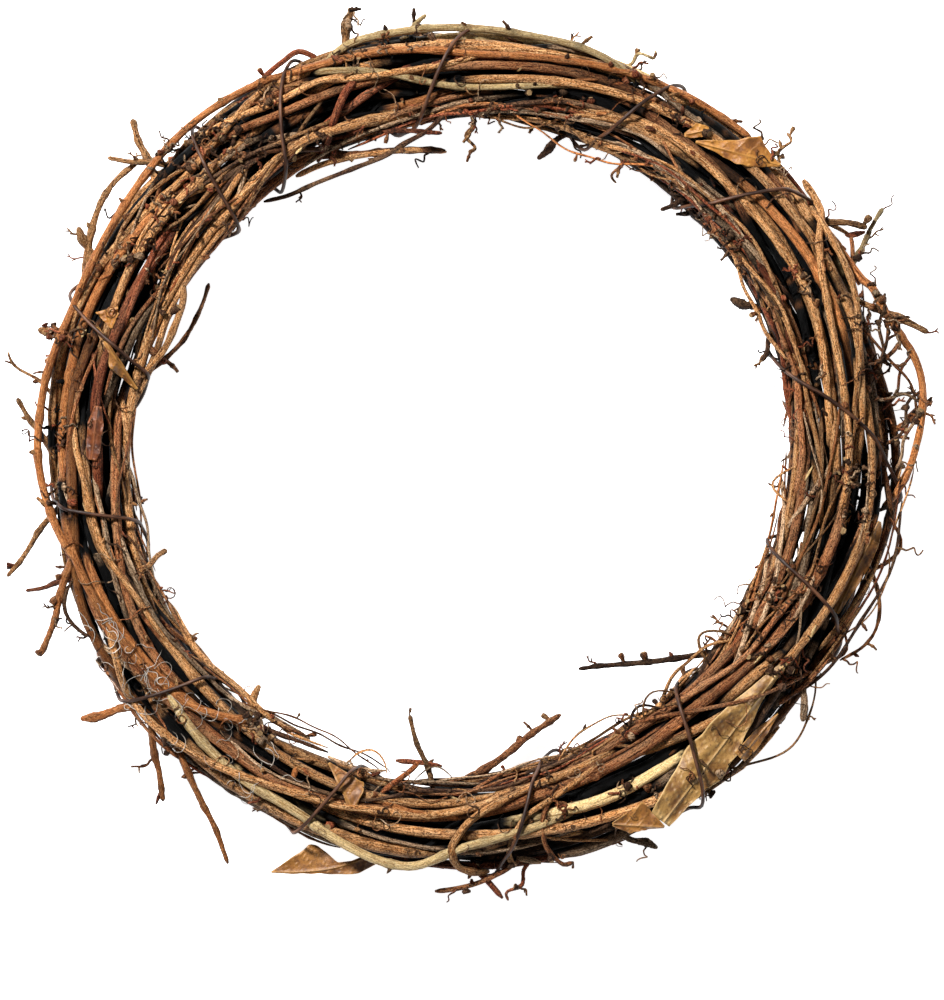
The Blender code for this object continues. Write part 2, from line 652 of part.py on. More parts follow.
TWIGS = (
    Twig((25, 149), (16, 162.5), 2.4, bud=True),
    Twig((27, 150), (32, 167), 2.2),
    Twig((4, 153), (7.5, 161), 2.4, bud=True),
    Twig((35, 150), (31, 158), 3.0),
    Twig((109.5, 150), (105.8, 165), 3.0, bud=True),
    Twig((101, 151), (97, 157.5), 2.4),
    Twig((139.5, 151), (135.7, 172), 3.0),
    Twig((136.5, 151), (141, 169), 2.4),
    Twig((156, 153), (139, 160), 2.8, via=(146, 168)),
    Twig((153, 152), (150, 164), 2.8, bud=True),
    Twig((163, 150), (163.5, 162.5), 3.0, bud=True),
    Twig((180, 151), (172.5, 165), 2.4),
    Twig((186, 151), (193.8, 172), 2.4),
    Twig((193, 151), (204, 169), 3.0),
    Twig((196.5, 151), (196, 166), 2.0),
    Twig((216, 151), (212.8, 167), 3.0, bud=True),
    Twig((218, 150), (227, 164), 2.8),
    Twig((222, 149), (238, 167), 2.6),
    Twig((290.5, 144), (294.5, 150), 2.4, bud=True),
    Twig((328, 134), (321, 145), 3.2, level=12, lift=3),
    Twig((27, 111), (33, 104.5), 2.8, bud=True),
    Twig((24, 111), (19.5, 104), 2.2),
    Twig((75, 118), (79.5, 108), 2.4, bud=True),
    Twig((51, 115), (54.5, 108), 2.2),
    Twig((119, 119), (96.5, 109.5), 3.0),
    Twig((109, 120), (97, 115), 2.2),
    Twig((168, 122), (147, 114.5), 2.0, via=(158, 108)),
    Twig((322, 105), (295, 81), 2.4, via=(309, 92)),
    Twig((267, 109), (287.5, 94), 3.0),
    Twig((262, 110), (254.4, 93), 2.2),
    Twig((228, 117), (225.5, 110.5), 2.6, bud=True),
    Twig((198, 121), (196, 115), 2.4),
    Twig((172, 151), (167, 170), 1.4, curls=1.0),
    Twig((44, 148), (47, 158), 1.4, curls=1.5),
    Twig((70, 149), (67, 157), 1.4, curls=1.5),
    Twig((66, 117), (64, 109), 1.4, curls=1.5),
    Twig((91, 120), (92.5, 108), 1.6, curls=2.0),
    Twig((277, 146), (273.5, 156), 1.6, curls=1.5),
    Twig((346, 143), (331, 145), 1.5, via=(338, 161)),
    Twig((9, 150), (8, 160), 1.4, curls=1.5),
)

def twig_line(root, twig, tip_height):
    """Points and radii along a twig or tendril, from inside its vine to its tip."""
    tip = in_space(*twig.tip, tip_height)
    middle = in_space(*twig.via, 0.5 * (root.z + tip_height)) if twig.via else 0.5 * (root + tip)
    count = 12 if twig.curls else 7 if twig.via else 4
    out = (tip - root).normalized()
    side = out.cross(Vector((0, 0, 1))).normalized()
    points, radii = [], []
    for index in range(count):
        along = index / (count - 1)
        bend = 2 * along * (1 - along)
        point = root * (1 - along) ** 2 + middle * bend + tip * along ** 2
        if twig.curls:
            turn = math.tau * twig.curls * along
            size = CURL_SIZE * along
            point = point + side * size * math.sin(turn) + Vector((0, 0, size * math.cos(turn)))
        elif index in (1, 2) and not twig.via:
            point = point + side * TWIG_KINKS[index - 1]
        points.append(point)
        radii.append(0.5 * twig.diameter * (1 - TWIG_TAPER * along))
    if twig.bud:
        radii[-2] *= BUD_SWELL
    return points, radii


def place_twig(twig, vines, crowd):
    """Host vine and line of a twig, on the nearest vine from which its way out is clear."""
    best = None
    for shift in ROOT_SHIFTS:
        bearing = twig.root[0] + shift
        hosts = []
        for vine in vines:
            turns = [bearing + 360 * turn for turn in range(-2, 3)]
            for turn in turns:
                station = turn / PLANE_STEP - vine.first
                if 0.5 < station < len(vine.radius) - 1.5:
                    known = np.arange(len(vine.radius))
                    across = np.interp(station, known, vine.place[:, 0])
                    height = np.interp(station, known, vine.place[:, 1])
                    radius = np.interp(station, known, vine.radius)
                    if radius > 0.5 * twig.diameter * HOST_SHARE:
                        off = math.hypot(across - twig.root[1],
                                         height - BUNDLE_MIDDLE - twig.level)
                        hosts.append((off, vine.name, vine, across, height))
        for _, _, vine, across, height in sorted(hosts, key=lambda host: host[:2])[:HOSTS_TRIED]:
            root = in_space(bearing, across, height)
            for lift in LIFTS:
                tip_height = height + twig.lift + lift
                if tip_height < LEAST_TIP_HEIGHT:
                    continue
                points, radii = twig_line(root, twig, tip_height)
                line, thick = dense([tuple(point) for point in points], radii, TWIG_BALLS)
                free = crowd.clearance(line, thick, vine.name)
                if best is None or free > best[0]:
                    best = (free, vine, points, radii)
                if free > GAP:
                    return best
    return best


def build_twig(name, points, radii):
    """Closed tube of a twig, its sections square to its line."""
    frame = None
    rings = []
    for index, point in enumerate(points):
        along = (points[min(index + 1, len(points) - 1)] - points[max(index - 1, 0)]).normalized()
        side = frame - along * frame.dot(along) if frame else along.cross(Vector((0, 0.1, 1)))
        side.normalize()
        frame = side
        other = along.cross(side)
        for turn in range(TWIG_SIDES):
            angle = math.tau * turn / TWIG_SIDES
            rings.append(point + radii[index]
                         * (side * math.cos(angle) + other * math.sin(angle)))
    return mesh_object(name, rings, tube_faces(len(points), TWIG_SIDES), BARKS["brown"])


def fuse(item, additions):
    """Join the additions to an object by one Boolean union, and remove them."""
    group = bpy.data.collections.new(item.name + "_twigs")
    bpy.context.scene.collection.children.link(group)
    for addition in additions:
        bpy.context.scene.collection.objects.unlink(addition)
        group.objects.link(addition)
    union = item.modifiers.new("twigs", "BOOLEAN")
    union.operation = "UNION"
    union.operand_type = "COLLECTION"
    union.collection = group
    union.solver = "EXACT"
    graph = bpy.context.evaluated_depsgraph_get()
    joined = bpy.data.meshes.new_from_object(item.evaluated_get(graph))
    item.modifiers.clear()
    look = item.data.materials[0]
    item.data = joined
    joined.materials.clear()
    joined.materials.append(look)
    joined.name = item.name
    for addition in additions:
        bpy.data.objects.remove(addition, do_unlink=True)
    bpy.data.collections.remove(group)


def main():
    """Model the wreath."""
    clear_scene()
    rng = random.Random(SEED)
    vines = [front_vine(name, *spec, rng) for name, spec in FRONT_VINES.items()]
    vines += [inner_vine(index, rng) for index in range(INNER_VINES)]
    settle(vines)
    crowd = Crowd()
    for vine in vines:
        crowd.add(vine.name, *dense(vine_line(vine), vine.radius, VINE_BALLS))
    for leaf in LEAVES:
        _, balls = build_leaf(leaf, crowd)
        crowd.add(leaf.name, balls, np.full(len(balls), 0.5 * LEAF_THICKNESS))
    corners, ways = wire_line(crowd, [leaf.name for leaf in LEAVES if not leaf.over])
    build_wire(corners, ways)
    thick = np.full(len(corners), 0.5 * WIRE_DIAMETER)
    crowd.add("binding_wire", *dense(corners, thick, WIRE_BALLS))
    for twig in TWIGS:
        free, vine, points, radii = place_twig(twig, vines, crowd)
        if free > 0.5 * GAP:
            crowd.add(vine.name, *dense(points, radii, TWIG_BALLS))
            vine.twigs.append((points, radii))
    for vine in vines:
        item = build_vine(vine)
        if vine.twigs:
            fuse(item, [build_twig(f"{vine.name}_twig_{index}", *twig)
                        for index, twig in enumerate(vine.twigs)])


if __name__ == "__main__":
    main()
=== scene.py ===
"""Dry grapevine wreath, laid flat with its front up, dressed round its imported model.

Places are given as a bearing in degrees round the ring, anticlockwise from +X as seen from
above, with a radius and a height in millimetres. Finished meshes are in metres.
"""

import logging
import math
import random
from dataclasses import dataclass, field
from enum import Enum
from typing import Any, Callable, Iterable, Iterator, Optional

import bmesh
import bpy
import numpy as np
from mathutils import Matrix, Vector

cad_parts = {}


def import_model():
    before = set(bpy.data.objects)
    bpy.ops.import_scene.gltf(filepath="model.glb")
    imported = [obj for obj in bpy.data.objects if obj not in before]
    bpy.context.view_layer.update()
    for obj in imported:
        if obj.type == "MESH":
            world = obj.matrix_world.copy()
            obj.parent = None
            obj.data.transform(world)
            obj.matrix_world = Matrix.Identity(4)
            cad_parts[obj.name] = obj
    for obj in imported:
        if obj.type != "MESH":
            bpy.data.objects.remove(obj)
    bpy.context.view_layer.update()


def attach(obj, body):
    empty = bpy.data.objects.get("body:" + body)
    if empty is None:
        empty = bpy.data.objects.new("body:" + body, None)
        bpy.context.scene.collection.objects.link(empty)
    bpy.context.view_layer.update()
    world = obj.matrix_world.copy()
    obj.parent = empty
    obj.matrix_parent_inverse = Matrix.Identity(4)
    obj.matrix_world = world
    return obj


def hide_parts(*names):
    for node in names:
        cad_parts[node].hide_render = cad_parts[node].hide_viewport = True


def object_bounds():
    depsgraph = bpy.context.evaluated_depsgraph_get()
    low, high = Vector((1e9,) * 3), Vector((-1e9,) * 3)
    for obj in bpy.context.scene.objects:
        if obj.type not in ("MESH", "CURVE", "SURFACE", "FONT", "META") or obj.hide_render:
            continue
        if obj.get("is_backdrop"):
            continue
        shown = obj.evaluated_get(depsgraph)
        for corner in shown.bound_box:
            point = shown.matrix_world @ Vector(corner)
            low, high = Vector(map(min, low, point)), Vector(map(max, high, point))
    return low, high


LOG = logging.getLogger("wreath")
Array = np.ndarray
Colour = tuple[int, int, int]
Place = tuple[float, float]
MM = 0.001
SEED = 23


class Bark(Enum):
    """Kind of bark that a vine has, with the name of its finish in the record."""

    TAN = "bark_tan"
    BROWN = "bark_brown"
    RED_BROWN = "bark_red_brown"
    ORANGE = "bark_orange"
    GREY_BROWN = "bark_grey_brown"
    STRAW = "bark_straw"
    DARK = "bark_dark"
    PEELED = "bark_peeled"


class Tone(Enum):
    """Colour of a dry leaf, with the name of its finish in the record."""

    TAN = "leaf_tan"
    BROWN = "leaf_brown"
    GOLD = "leaf_gold"
    PEELED = "bark_peeled"


# Bearings where each turn of the wire passes the outer edge, then the inner edge, over the front
WIRE_TURNS = (
    (37.5, 52.7), (61.4, 71.6), (90, 103), (115, 126.7), (130.5, 137), (157.4, 166.8),
    (185, 191), (213, 220), (242.5, 249), (271.5, 282), (301, 312), (333, 344.6), (355.9, 381.4),
)

# Front vines: bark, diameter and the (bearing, radius) places that the eye follows
FRONT_VINES = {
    "vine_straw": (Bark.STRAW, 4.6, (
        (220, 137), (233, 140), (245, 141), (255, 144), (260, 143), (265, 138), (270, 134),
        (278, 130), (290, 127), (303, 125))),
    "vine_top_arc": (Bark.TAN, 4.2, (
        (52, 147), (60, 147), (70, 145), (80, 143), (90, 142), (100, 144), (110, 148), (120, 151),
        (130, 152), (150, 152), (170, 149))),
    "vine_top_cross": (Bark.TAN, 3.6, ((105, 147), (120, 141), (140, 140), (150, 141))),
    "vine_top_dark": (Bark.BROWN, 3.4, (
        (60, 144), (70, 138), (80, 137), (93, 139), (100, 139), (110, 140), (115, 143), (125, 146),
        (130, 148))),
    "vine_pale_cross": (Bark.TAN, 3.4, (
        (8, 130), (13, 135), (20, 140), (30, 143), (40, 142), (57, 140), (60, 138), (70, 137),
        (78, 135), (85, 132), (90, 130), (100, 135), (108, 142), (113, 145))),
    "vine_left_outer": (Bark.ORANGE, 3.8, (
        (128, 144), (133, 142), (140, 144), (145, 146), (152, 148), (160, 149), (170, 148),
        (180, 147), (190, 145), (198, 143), (205, 140), (212, 137), (220, 132), (225, 127))),
    "vine_long_brown": (Bark.BROWN, 4.4, (
        (-154, 144), (-145, 147), (-138, 144), (-125, 137), (-115, 132), (-104, 128), (-90, 124),
        (-80, 117), (-70, 113), (-60, 112), (-52, 112), (-38, 119), (-30, 122), (-18, 126),
        (-10, 129), (0, 128), (10, 128), (22, 130), (27, 134), (32, 141), (37, 145))),
    "vine_right_rough": (Bark.TAN, 4.4, (
        (-138, 145), (-117, 143), (-100, 142), (-84, 135), (-82, 126), (-76, 119), (-70, 116),
        (-62, 115), (-48, 121), (-17, 123), (0, 122), (10, 123), (20, 127), (30, 129), (50, 130),
        (67, 131))),
    "vine_lower_left": (Bark.TAN, 3.6, (
        (180, 141), (190, 144), (195, 140), (200, 132), (207, 127), (215, 124), (232, 125),
        (250, 126), (262, 123), (287, 109), (295, 111), (310, 119), (325, 125), (340, 134),
        (347, 139), (352, 140))),
    "vine_right_inner": (Bark.ORANGE, 3.4, (
        (-32, 116), (-10, 118), (0, 120), (25, 118), (35, 120), (42, 124), (52, 127))),
    "vine_inner_brown": (Bark.BROWN, 3.6, (
        (-60, 108), (-30, 109), (0, 114), (10, 116), (30, 117), (40, 120), (50, 122))),
    "vine_inner_tan": (Bark.TAN, 3.4, ((-20, 107), (0, 110), (10, 113), (20, 114), (27, 116))),
    "vine_left_inner": (Bark.BROWN, 3.6, (
        (138, 120), (145, 122), (164, 121), (180, 126), (196, 131), (209, 135))),
    "vine_left_rough": (Bark.TAN, 4.0, (
        (90, 123), (110, 123), (130, 124), (148, 122), (165, 123), (180, 125), (195, 125))),
    "vine_red_diagonal": (Bark.RED_BROWN, 3.4, ((100, 143), (110, 136), (114, 127), (120, 121))),
    "vine_orange_right": (Bark.ORANGE, 3.8, ((22, 133), (30, 136), (38, 135), (44, 133))),
    "vine_lower_right": (Bark.TAN, 4.0, ((250, 132), (270, 130), (280, 131), (298, 132))),
    "vine_top_pale": (Bark.STRAW, 3.4, ((45, 148), (68, 146), (80, 149), (90, 150), (110, 151))),
}

INNER_BARKS = (Bark.BROWN, Bark.TAN, Bark.RED_BROWN, Bark.GREY_BROWN, Bark.DARK, Bark.ORANGE)


@dataclass(frozen=True)
class Ring:
    """The ring that the bundle of vines follows, and the room that the bundle takes."""

    centre: Place = (3.7, -1.9)
    bearings: tuple[int, ...] = tuple(range(0, 360, 30))
    inner: tuple[int, ...] = (105, 112, 117, 121, 117, 119, 123, 119, 114, 109, 105, 104)
    outer: tuple[int, ...] = (153, 148, 149, 151, 154, 154, 151, 153, 146, 146, 143, 142)
    depth: float = 27.0
    squareness: float = 2.6
    gap: float = 0.4
    planes: int = 36
    mean_radius: float = 130.0
    wire: float = 1.6
    wire_sides: int = 5

    @property
    def step(self) -> float:
        """Degrees from one bearing plane to the next."""
        return 360 / self.planes

    @property
    def wire_rest(self) -> float:
        """Height of the wire's middle line where it lies on the ground."""
        return 0.5 * self.wire * math.cos(math.pi / self.wire_sides)

    @property
    def middle(self) -> float:
        """Height of the middle of the bundle."""
        return self.wire_rest + 0.5 * self.wire + self.gap + 0.5 * self.depth

    def band(self, bearing: Any) -> tuple[Any, Any]:
        """Inner and outer radius of the bundle at a bearing, or at each of several."""
        return (np.interp(bearing, self.bearings, self.inner, period=360),
                np.interp(bearing, self.bearings, self.outer, period=360))

    def spot(self, bearing: float, radius: float, height: float) -> Vector:
        """Point in space of one place round the ring."""
        angle = math.radians(bearing)
        return Vector((self.centre[0] + radius * math.cos(angle),
                       self.centre[1] + radius * math.sin(angle), height))

    def spots(self, bearing: Array, radius: Array, height: Array) -> Array:
        """Points in space of several places round the ring."""
        angle = np.radians(bearing)
        return np.stack([self.centre[0] + radius * np.cos(angle),
                         self.centre[1] + radius * np.sin(angle), height], 1)

    def around(self, points: Array) -> tuple[Array, Array]:
        """Bearing and radius of points in space."""
        x, y = points[:, 0] - self.centre[0], points[:, 1] - self.centre[1]
        return np.degrees(np.arctan2(y, x)), np.hypot(x, y)

    def front_height(self, bearing: float, radius: float, thickness: float) -> float:
        """Height of a vine that lies on the front of the bundle at this place."""
        inner, outer = self.band(bearing)
        across = (radius - 0.5 * (inner + outer)) / (0.5 * (outer - inner) - thickness)
        share = max(0.0, 1 - min(1.0, abs(across)) ** self.squareness)
        return self.middle + (0.5 * self.depth - thickness) * share ** (1 / self.squareness)


RING = Ring()


@dataclass
class Vine:
    """One vine: its bark, its thickness and its place on each bearing plane from the first."""

    name: str
    bark: Bark
    first: int
    radius: Array
    place: Array
    twigs: list = field(default_factory=list)

    def line(self) -> list[Vector]:
        """Middle line in space, one point on each bearing plane."""
        return [RING.spot((self.first + station) * RING.step, *place)
                for station, place in enumerate(self.place)]

    def smooth(self, pitch: float) -> tuple[Array, Array]:
        """Middle line and thickness drawn as a smooth curve.

        Args:
            pitch: distance between points along it.

        Returns:
            Points in space, and the radius at each.
        """
        bearing = (self.first + np.arange(len(self.place))) * RING.step
        steps = max(2, round(math.radians(RING.step) * RING.mean_radius / pitch))
        knots = np.column_stack([bearing, self.place, self.radius])
        flow = curve(knots, steps)
        return RING.spots(flow[:, 0], flow[:, 1], flow[:, 2]), flow[:, 3]


def curve(knots: Array, steps: int) -> Array:
    """Smooth curve through the knots, with the given number of steps between two of them."""
    knots = np.asarray(knots, float)
    padded = np.vstack([2 * knots[0] - knots[1], knots, 2 * knots[-1] - knots[-2]])
    share = (np.arange(steps) / steps)[:, None, None]
    before, here, there, after = padded[:-3], padded[1:-2], padded[2:-1], padded[3:]
    flow = 0.5 * (2 * here + (there - before) * share
                  + (2 * before - 5 * here + 4 * there - after) * share ** 2
                  + (3 * here - before - 3 * there + after) * share ** 3)
    return np.vstack([flow.transpose(1, 0, 2).reshape(-1, knots.shape[1]), knots[-1]])


def dense(points: Iterable, radii: Iterable, steps: int) -> tuple[Array, Array]:
    """Points and radii with straight steps in between."""
    points, radii = np.asarray(points, float), np.asarray(radii, float)
    place = np.arange((len(points) - 1) * steps + 1) / steps
    known = np.arange(len(points))
    along = np.stack([np.interp(place, known, points[:, axis]) for axis in range(3)], 1)
    return along, np.interp(place, known, radii)


def wander(planes: Place, turns: Place, reach: float, sways: Iterable, room: Place) -> Array:
    """Course of a vine that drifts round inside the bundle, one place on each bearing plane.

    Args:
        planes: its first bearing plane, and how many it passes.
        turns: its angle round the bundle's middle at the start, and how that grows by plane.
        reach: how far out it keeps, as a share of the bundle's half width.
        sways: size, phase and pace of each wave in its reach.
        room: height of its course's middle above the bundle's, and its share of the depth.

    Returns:
        Radius round the ring and height on each plane.
    """
    home = []
    for station in range(planes[1]):
        inner, outer = RING.band((planes[0] + station) * RING.step)
        turn = turns[0] + turns[1] * station
        out = reach
        for size, phase, pace in sways:
            out += size * math.sin(phase + pace * station)
        home.append((0.5 * (inner + outer) + out * 0.5 * (outer - inner) * math.cos(turn),
                     RING.middle + room[0] + out * room[1] * RING.depth * math.sin(turn)))
    return np.array(home)


@dataclass
class Bundle:
    """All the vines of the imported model, laid and settled by the rules of its source."""

    count: int = 19
    length: tuple[int, int] = (26, 46)
    diameter: Place = (2.9, 4.0)
    twist: Place = (0.06, 0.2)
    sway: float = 0.22
    sway_step: float = 0.45
    ripple: float = 0.12
    ripple_step: float = 1.3
    tuck_steps: int = 3
    tuck_drop: float = 3.5
    taper: float = 0.8
    rng: random.Random = field(default_factory=lambda: random.Random(SEED))

    def tapered(self, diameter: float, stations: int) -> Array:
        """Radius along a vine, thinner to its tip and a little thicker at its joints."""
        joint = self.rng.randrange(3)
        radius = np.linspace(1, self.taper, stations) * 0.5 * diameter
        radius[joint::3] *= 1.08
        return radius

    def front_vine(self, name: str, bark: Bark, diameter: float, places: tuple) -> Vine:
        """Vine that shows on the front, with both ends tucked down into the bundle."""
        bearings = [place[0] for place in places]
        first = math.ceil(bearings[0] / RING.step) - self.tuck_steps
        last = math.floor(bearings[-1] / RING.step) + self.tuck_steps
        radius = self.tapered(diameter, last - first + 1)
        home = []
        for station, thickness in enumerate(radius):
            bearing = (first + station) * RING.step
            across = np.interp(bearing, bearings, [place[1] for place in places])
            inner, outer = RING.band(bearing)
            tuck = max(bearings[0] - bearing, bearing - bearings[-1], 0) / RING.step
            across += (0.5 * (inner + outer) - across) * min(1, tuck / (2 * self.tuck_steps))
            height = RING.front_height(bearing, across, thickness) - self.tuck_drop * tuck
            home.append((across, height))
        return Vine(name, bark, first, radius, np.array(home))

    def inner_vine(self, index: int) -> Vine:
        """Vine that drifts slowly round inside the bundle, on a course of its own."""
        rng = self.rng
        stations = rng.randint(*self.length)
        first = rng.randrange(RING.planes)
        radius = self.tapered(rng.uniform(*self.diameter), stations)
        angle = math.tau * (0.5 + 0.618 * index)
        reach = math.sqrt((index + 0.5) / self.count)
        twist = rng.choice((-1, 1)) * rng.uniform(*self.twist)
        sways = [(size, rng.uniform(0, math.tau), pace)
                 for size, pace in ((self.sway, self.sway_step), (self.ripple, self.ripple_step))]
        home = wander((first, stations), (angle, twist), reach, sways, (-1.5, 0.45))
        bark = INNER_BARKS[index % len(INNER_BARKS)]
        return Vine(f"vine_{index + 1:02d}", bark, first, radius, home)

    def build(self) -> list[Vine]:
        """Lay all the vines and let them settle."""
        vines = [self.front_vine(name, *spec) for name, spec in FRONT_VINES.items()]
        vines += [self.inner_vine(index) for index in range(self.count)]
        Settling().run(vines)
        return vines


@dataclass(frozen=True)
class Settling:
    """Pushes vines apart on and between the bearing planes, as packed vines part each other."""

    soft_rounds: int = 260
    hard_rounds: int = 240
    blends: tuple[float, ...] = tuple(part / 6 for part in range(6))
    push: float = 0.25
    stiffness: float = 0.07
    homing: float = 0.03
    uneven: float = 0.09

    def run(self, vines: list[Vine], fixed: int = 0) -> None:
        """Move the vines until they lie clear of each other inside the bundle.

        Args:
            vines: the vines, which get their new places.
            fixed: how many of them, from the first, stay where they are.
        """
        count = [len(vine.radius) for vine in vines]
        plane = np.concatenate([(v.first + np.arange(n)) % RING.planes
                                for v, n in zip(vines, count)])
        size = np.concatenate([vine.radius for vine in vines])
        home = np.concatenate([vine.place for vine in vines])
        ends = np.cumsum(count) - 1
        starts = ends - np.array(count) + 1
        order = np.arange(len(plane))
        is_start, is_end = np.isin(order, starts), np.isin(order, ends)
        leader, follower = order - ~is_start, order + ~is_end
        free = ~(is_start | is_end)
        held = int(sum(count[:fixed]))
        width = max(np.bincount(plane))
        table = np.zeros((RING.planes, width), int)
        filled = np.zeros((RING.planes, width), bool)
        for index in range(RING.planes):
            here = np.flatnonzero(plane == index)
            table[index, :len(here)] = here
            filled[index, :len(here)] = True
        inner, outer = RING.band(plane * RING.step)
        middle = np.stack([0.5 * (inner + outer), np.full(len(plane), RING.middle)], 1)
        owner = np.repeat(np.arange(len(vines)), count)
        uneven = 1 + self.uneven * np.sin(np.radians(2 * plane * RING.step) + 2.4 * owner)
        room = np.stack([uneven * 0.5 * (outer - inner) - size, 0.5 * RING.depth - size], 1)
        others = ~np.eye(width, dtype=bool)
        place = home.copy()
        for rounds in range(self.soft_rounds + self.hard_rounds):
            shift = np.zeros_like(place)
            for blend in self.blends:
                present = filled & ~is_end[table] if blend else filled
                spot = place[table] * (1 - blend) + place[follower[table]] * blend
                reach = size[table] * (1 - blend) + size[follower[table]] * blend
                apart = spot[:, :, None] - spot[:, None]
                distance = np.sqrt((apart ** 2).sum(-1)) + 1e-6
                lack = reach[:, :, None] + reach[:, None] + RING.gap - distance
                lack = np.clip(lack, 0, None)
                lack *= present[:, :, None] & present[:, None] & others
                push = (apart * (lack / distance)[..., None]).sum(2)[present]
                np.add.at(shift, table[present], push * (1 - blend))
                np.add.at(shift, follower[table[present]], push * blend)
            place += self.push * shift
            if rounds < self.soft_rounds:
                bend = 0.5 * (place[leader] + place[follower]) - place
                place[free] += self.stiffness * bend[free]
                place += self.homing * (home - place)
            offset = place - middle
            over = ((np.abs(offset) / room) ** RING.squareness).sum(1)
            scale = np.where(over > 1, over ** (-1 / RING.squareness), 1)
            place = middle + offset * scale[:, None]
            place[:held] = home[:held]
        for vine, start, end in zip(vines, starts, ends):
            vine.place = place[start:end + 1]


class Crowd:
    """Everything laid so far, as small balls along each stem or leaf, to keep clear of."""

    def __init__(self) -> None:
        """Start with nothing laid."""
        self.centre = np.zeros((0, 3))
        self.radius = np.zeros(0)
        self.owner = np.zeros(0, dtype=object)

    def add(self, owner: str, points: Iterable, radii: Iterable) -> None:
        """Take in balls with these centres and radii, which belong to one piece."""
        points = np.asarray(points, float)
        self.centre = np.concatenate([self.centre, points])
        self.radius = np.concatenate([self.radius, np.asarray(radii, float)])
        self.owner = np.concatenate([self.owner, np.full(len(points), owner, dtype=object)])

    def clearance(self, points: Array, radii: Array, owner: str) -> float:
        """Least distance from the given balls to any piece other than their owner."""
        other = self.owner != owner
        apart = np.linalg.norm(self.centre[other][None] - points[:, None], axis=2)
        return (apart - self.radius[other][None] - radii[:, None]).min()


@dataclass(frozen=True)
class Leaf:
    """One dry leaf: its root and tip as (bearing, radius), its outline and how it lies.

    The outline is a half width at shares of the length, left and right of the midrib.
    """

    name: str
    tone: Tone
    root: Place
    tip: Place
    left: tuple[Place, ...]
    right: tuple[Place, ...]
    rows: int = 7
    columns: int = 3
    over: bool = True
    bow: float = 0.0
    sag: float = 7.0
    thickness: float = 0.9

    def plan(self, rows: int, columns: int, wave: float = 0.0) -> Array:
        """Points as seen from above, row by row from the root to the tip.

        Args:
            rows: how many rows of points.
            columns: how many points in a row.
            wave: how far the edge wanders off the outline.

        Returns:
            The points' places on the ground.
        """
        root, tip = RING.spot(*self.root, 0), RING.spot(*self.tip, 0)
        way = tip - root
        side = Vector((-way.y, way.x, 0)).normalized()
        along = np.linspace(0, 1, rows)
        left, right = (np.interp(along, *zip(*edge)) for edge in (self.left, self.right))
        wander = wave * np.sin(math.pi * along) * np.minimum(1, (left + right) / 12) ** 2
        left = left + wander * (np.sin(37 * along + 1) + np.sin(23 * along))
        right = right + wander * (np.sin(41 * along) + np.sin(19 * along + 2))
        points = []
        for row in range(rows):
            rib = root + way * along[row] + side * self.bow * math.sin(math.pi * along[row])
            for column in range(columns):
                across = 2 * column / (columns - 1) - 1
                half = max(0.2, left[row] if across > 0 else right[row])
                points.append(rib + side * across * half)
        return np.array([tuple(point)[:2] for point in points])

    def triangles(self) -> list[tuple[int, int, int]]:
        """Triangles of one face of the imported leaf."""
        found = []
        for row in range(self.rows - 1):
            for column in range(self.columns - 1):
                near = row * self.columns + column
                far = near + self.columns
                found += [(near, near + 1, far + 1), (near, far + 1, far)]
        return found

    def drape(self, crowd: Crowd, drops: int = 300, rests: int = 200) -> Array:
        """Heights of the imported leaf's points, laid on the vines or pressed up from below."""
        plan = self.plan(self.rows, self.columns)
        triangles = np.array(self.triangles())
        weights = np.zeros((len(triangles) * len(SHARES), len(plan)))
        for index, (triangle, share) in enumerate((t, s) for t in triangles for s in SHARES):
            weights[index, triangle] = share
        way = 1 if self.over else -1
        spots = weights @ plan
        flat = np.linalg.norm(crowd.centre[None, :, :2] - spots[:, None], axis=2)
        reach = crowd.radius[None] + RING.gap
        top = np.where(flat < reach, way * crowd.centre[None, :, 2]
                       + np.sqrt(np.clip(reach ** 2 - flat ** 2, 0, None)), -1e3).max(1)
        floor = np.maximum(top, way * RING.middle + 0.5 * RING.depth - self.sag)
        height = np.full(len(plan), floor.max())
        neighbours = np.zeros((len(plan), len(plan)))
        for a, b, c in triangles:
            for one, two in ((a, b), (b, c), (c, a)):
                neighbours[one, two] = neighbours[two, one] = 1
        neighbours /= neighbours.sum(1, keepdims=True)
        pull = weights / (weights ** 2).sum(1, keepdims=True)
        for rounds in range(drops + rests):
            if rounds < drops:
                height -= 0.06
                height += 0.25 * (neighbours @ height - height)
            lack = np.clip(floor - weights @ height, 0, None)
            height += (pull * lack[:, None]).max(0)
        return way * height

    def balls(self, height: Array) -> list[Vector]:
        """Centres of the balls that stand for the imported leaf."""
        lift = 0.5 * self.thickness * (1 if self.over else -1)
        points = [Vector((x, y, z + lift))
                  for (x, y), z in zip(self.plan(self.rows, self.columns), height)]
        return [sum((points[corner] * part for corner, part in zip(triangle, share)), Vector())
                for triangle in self.triangles() for share in SHARES]


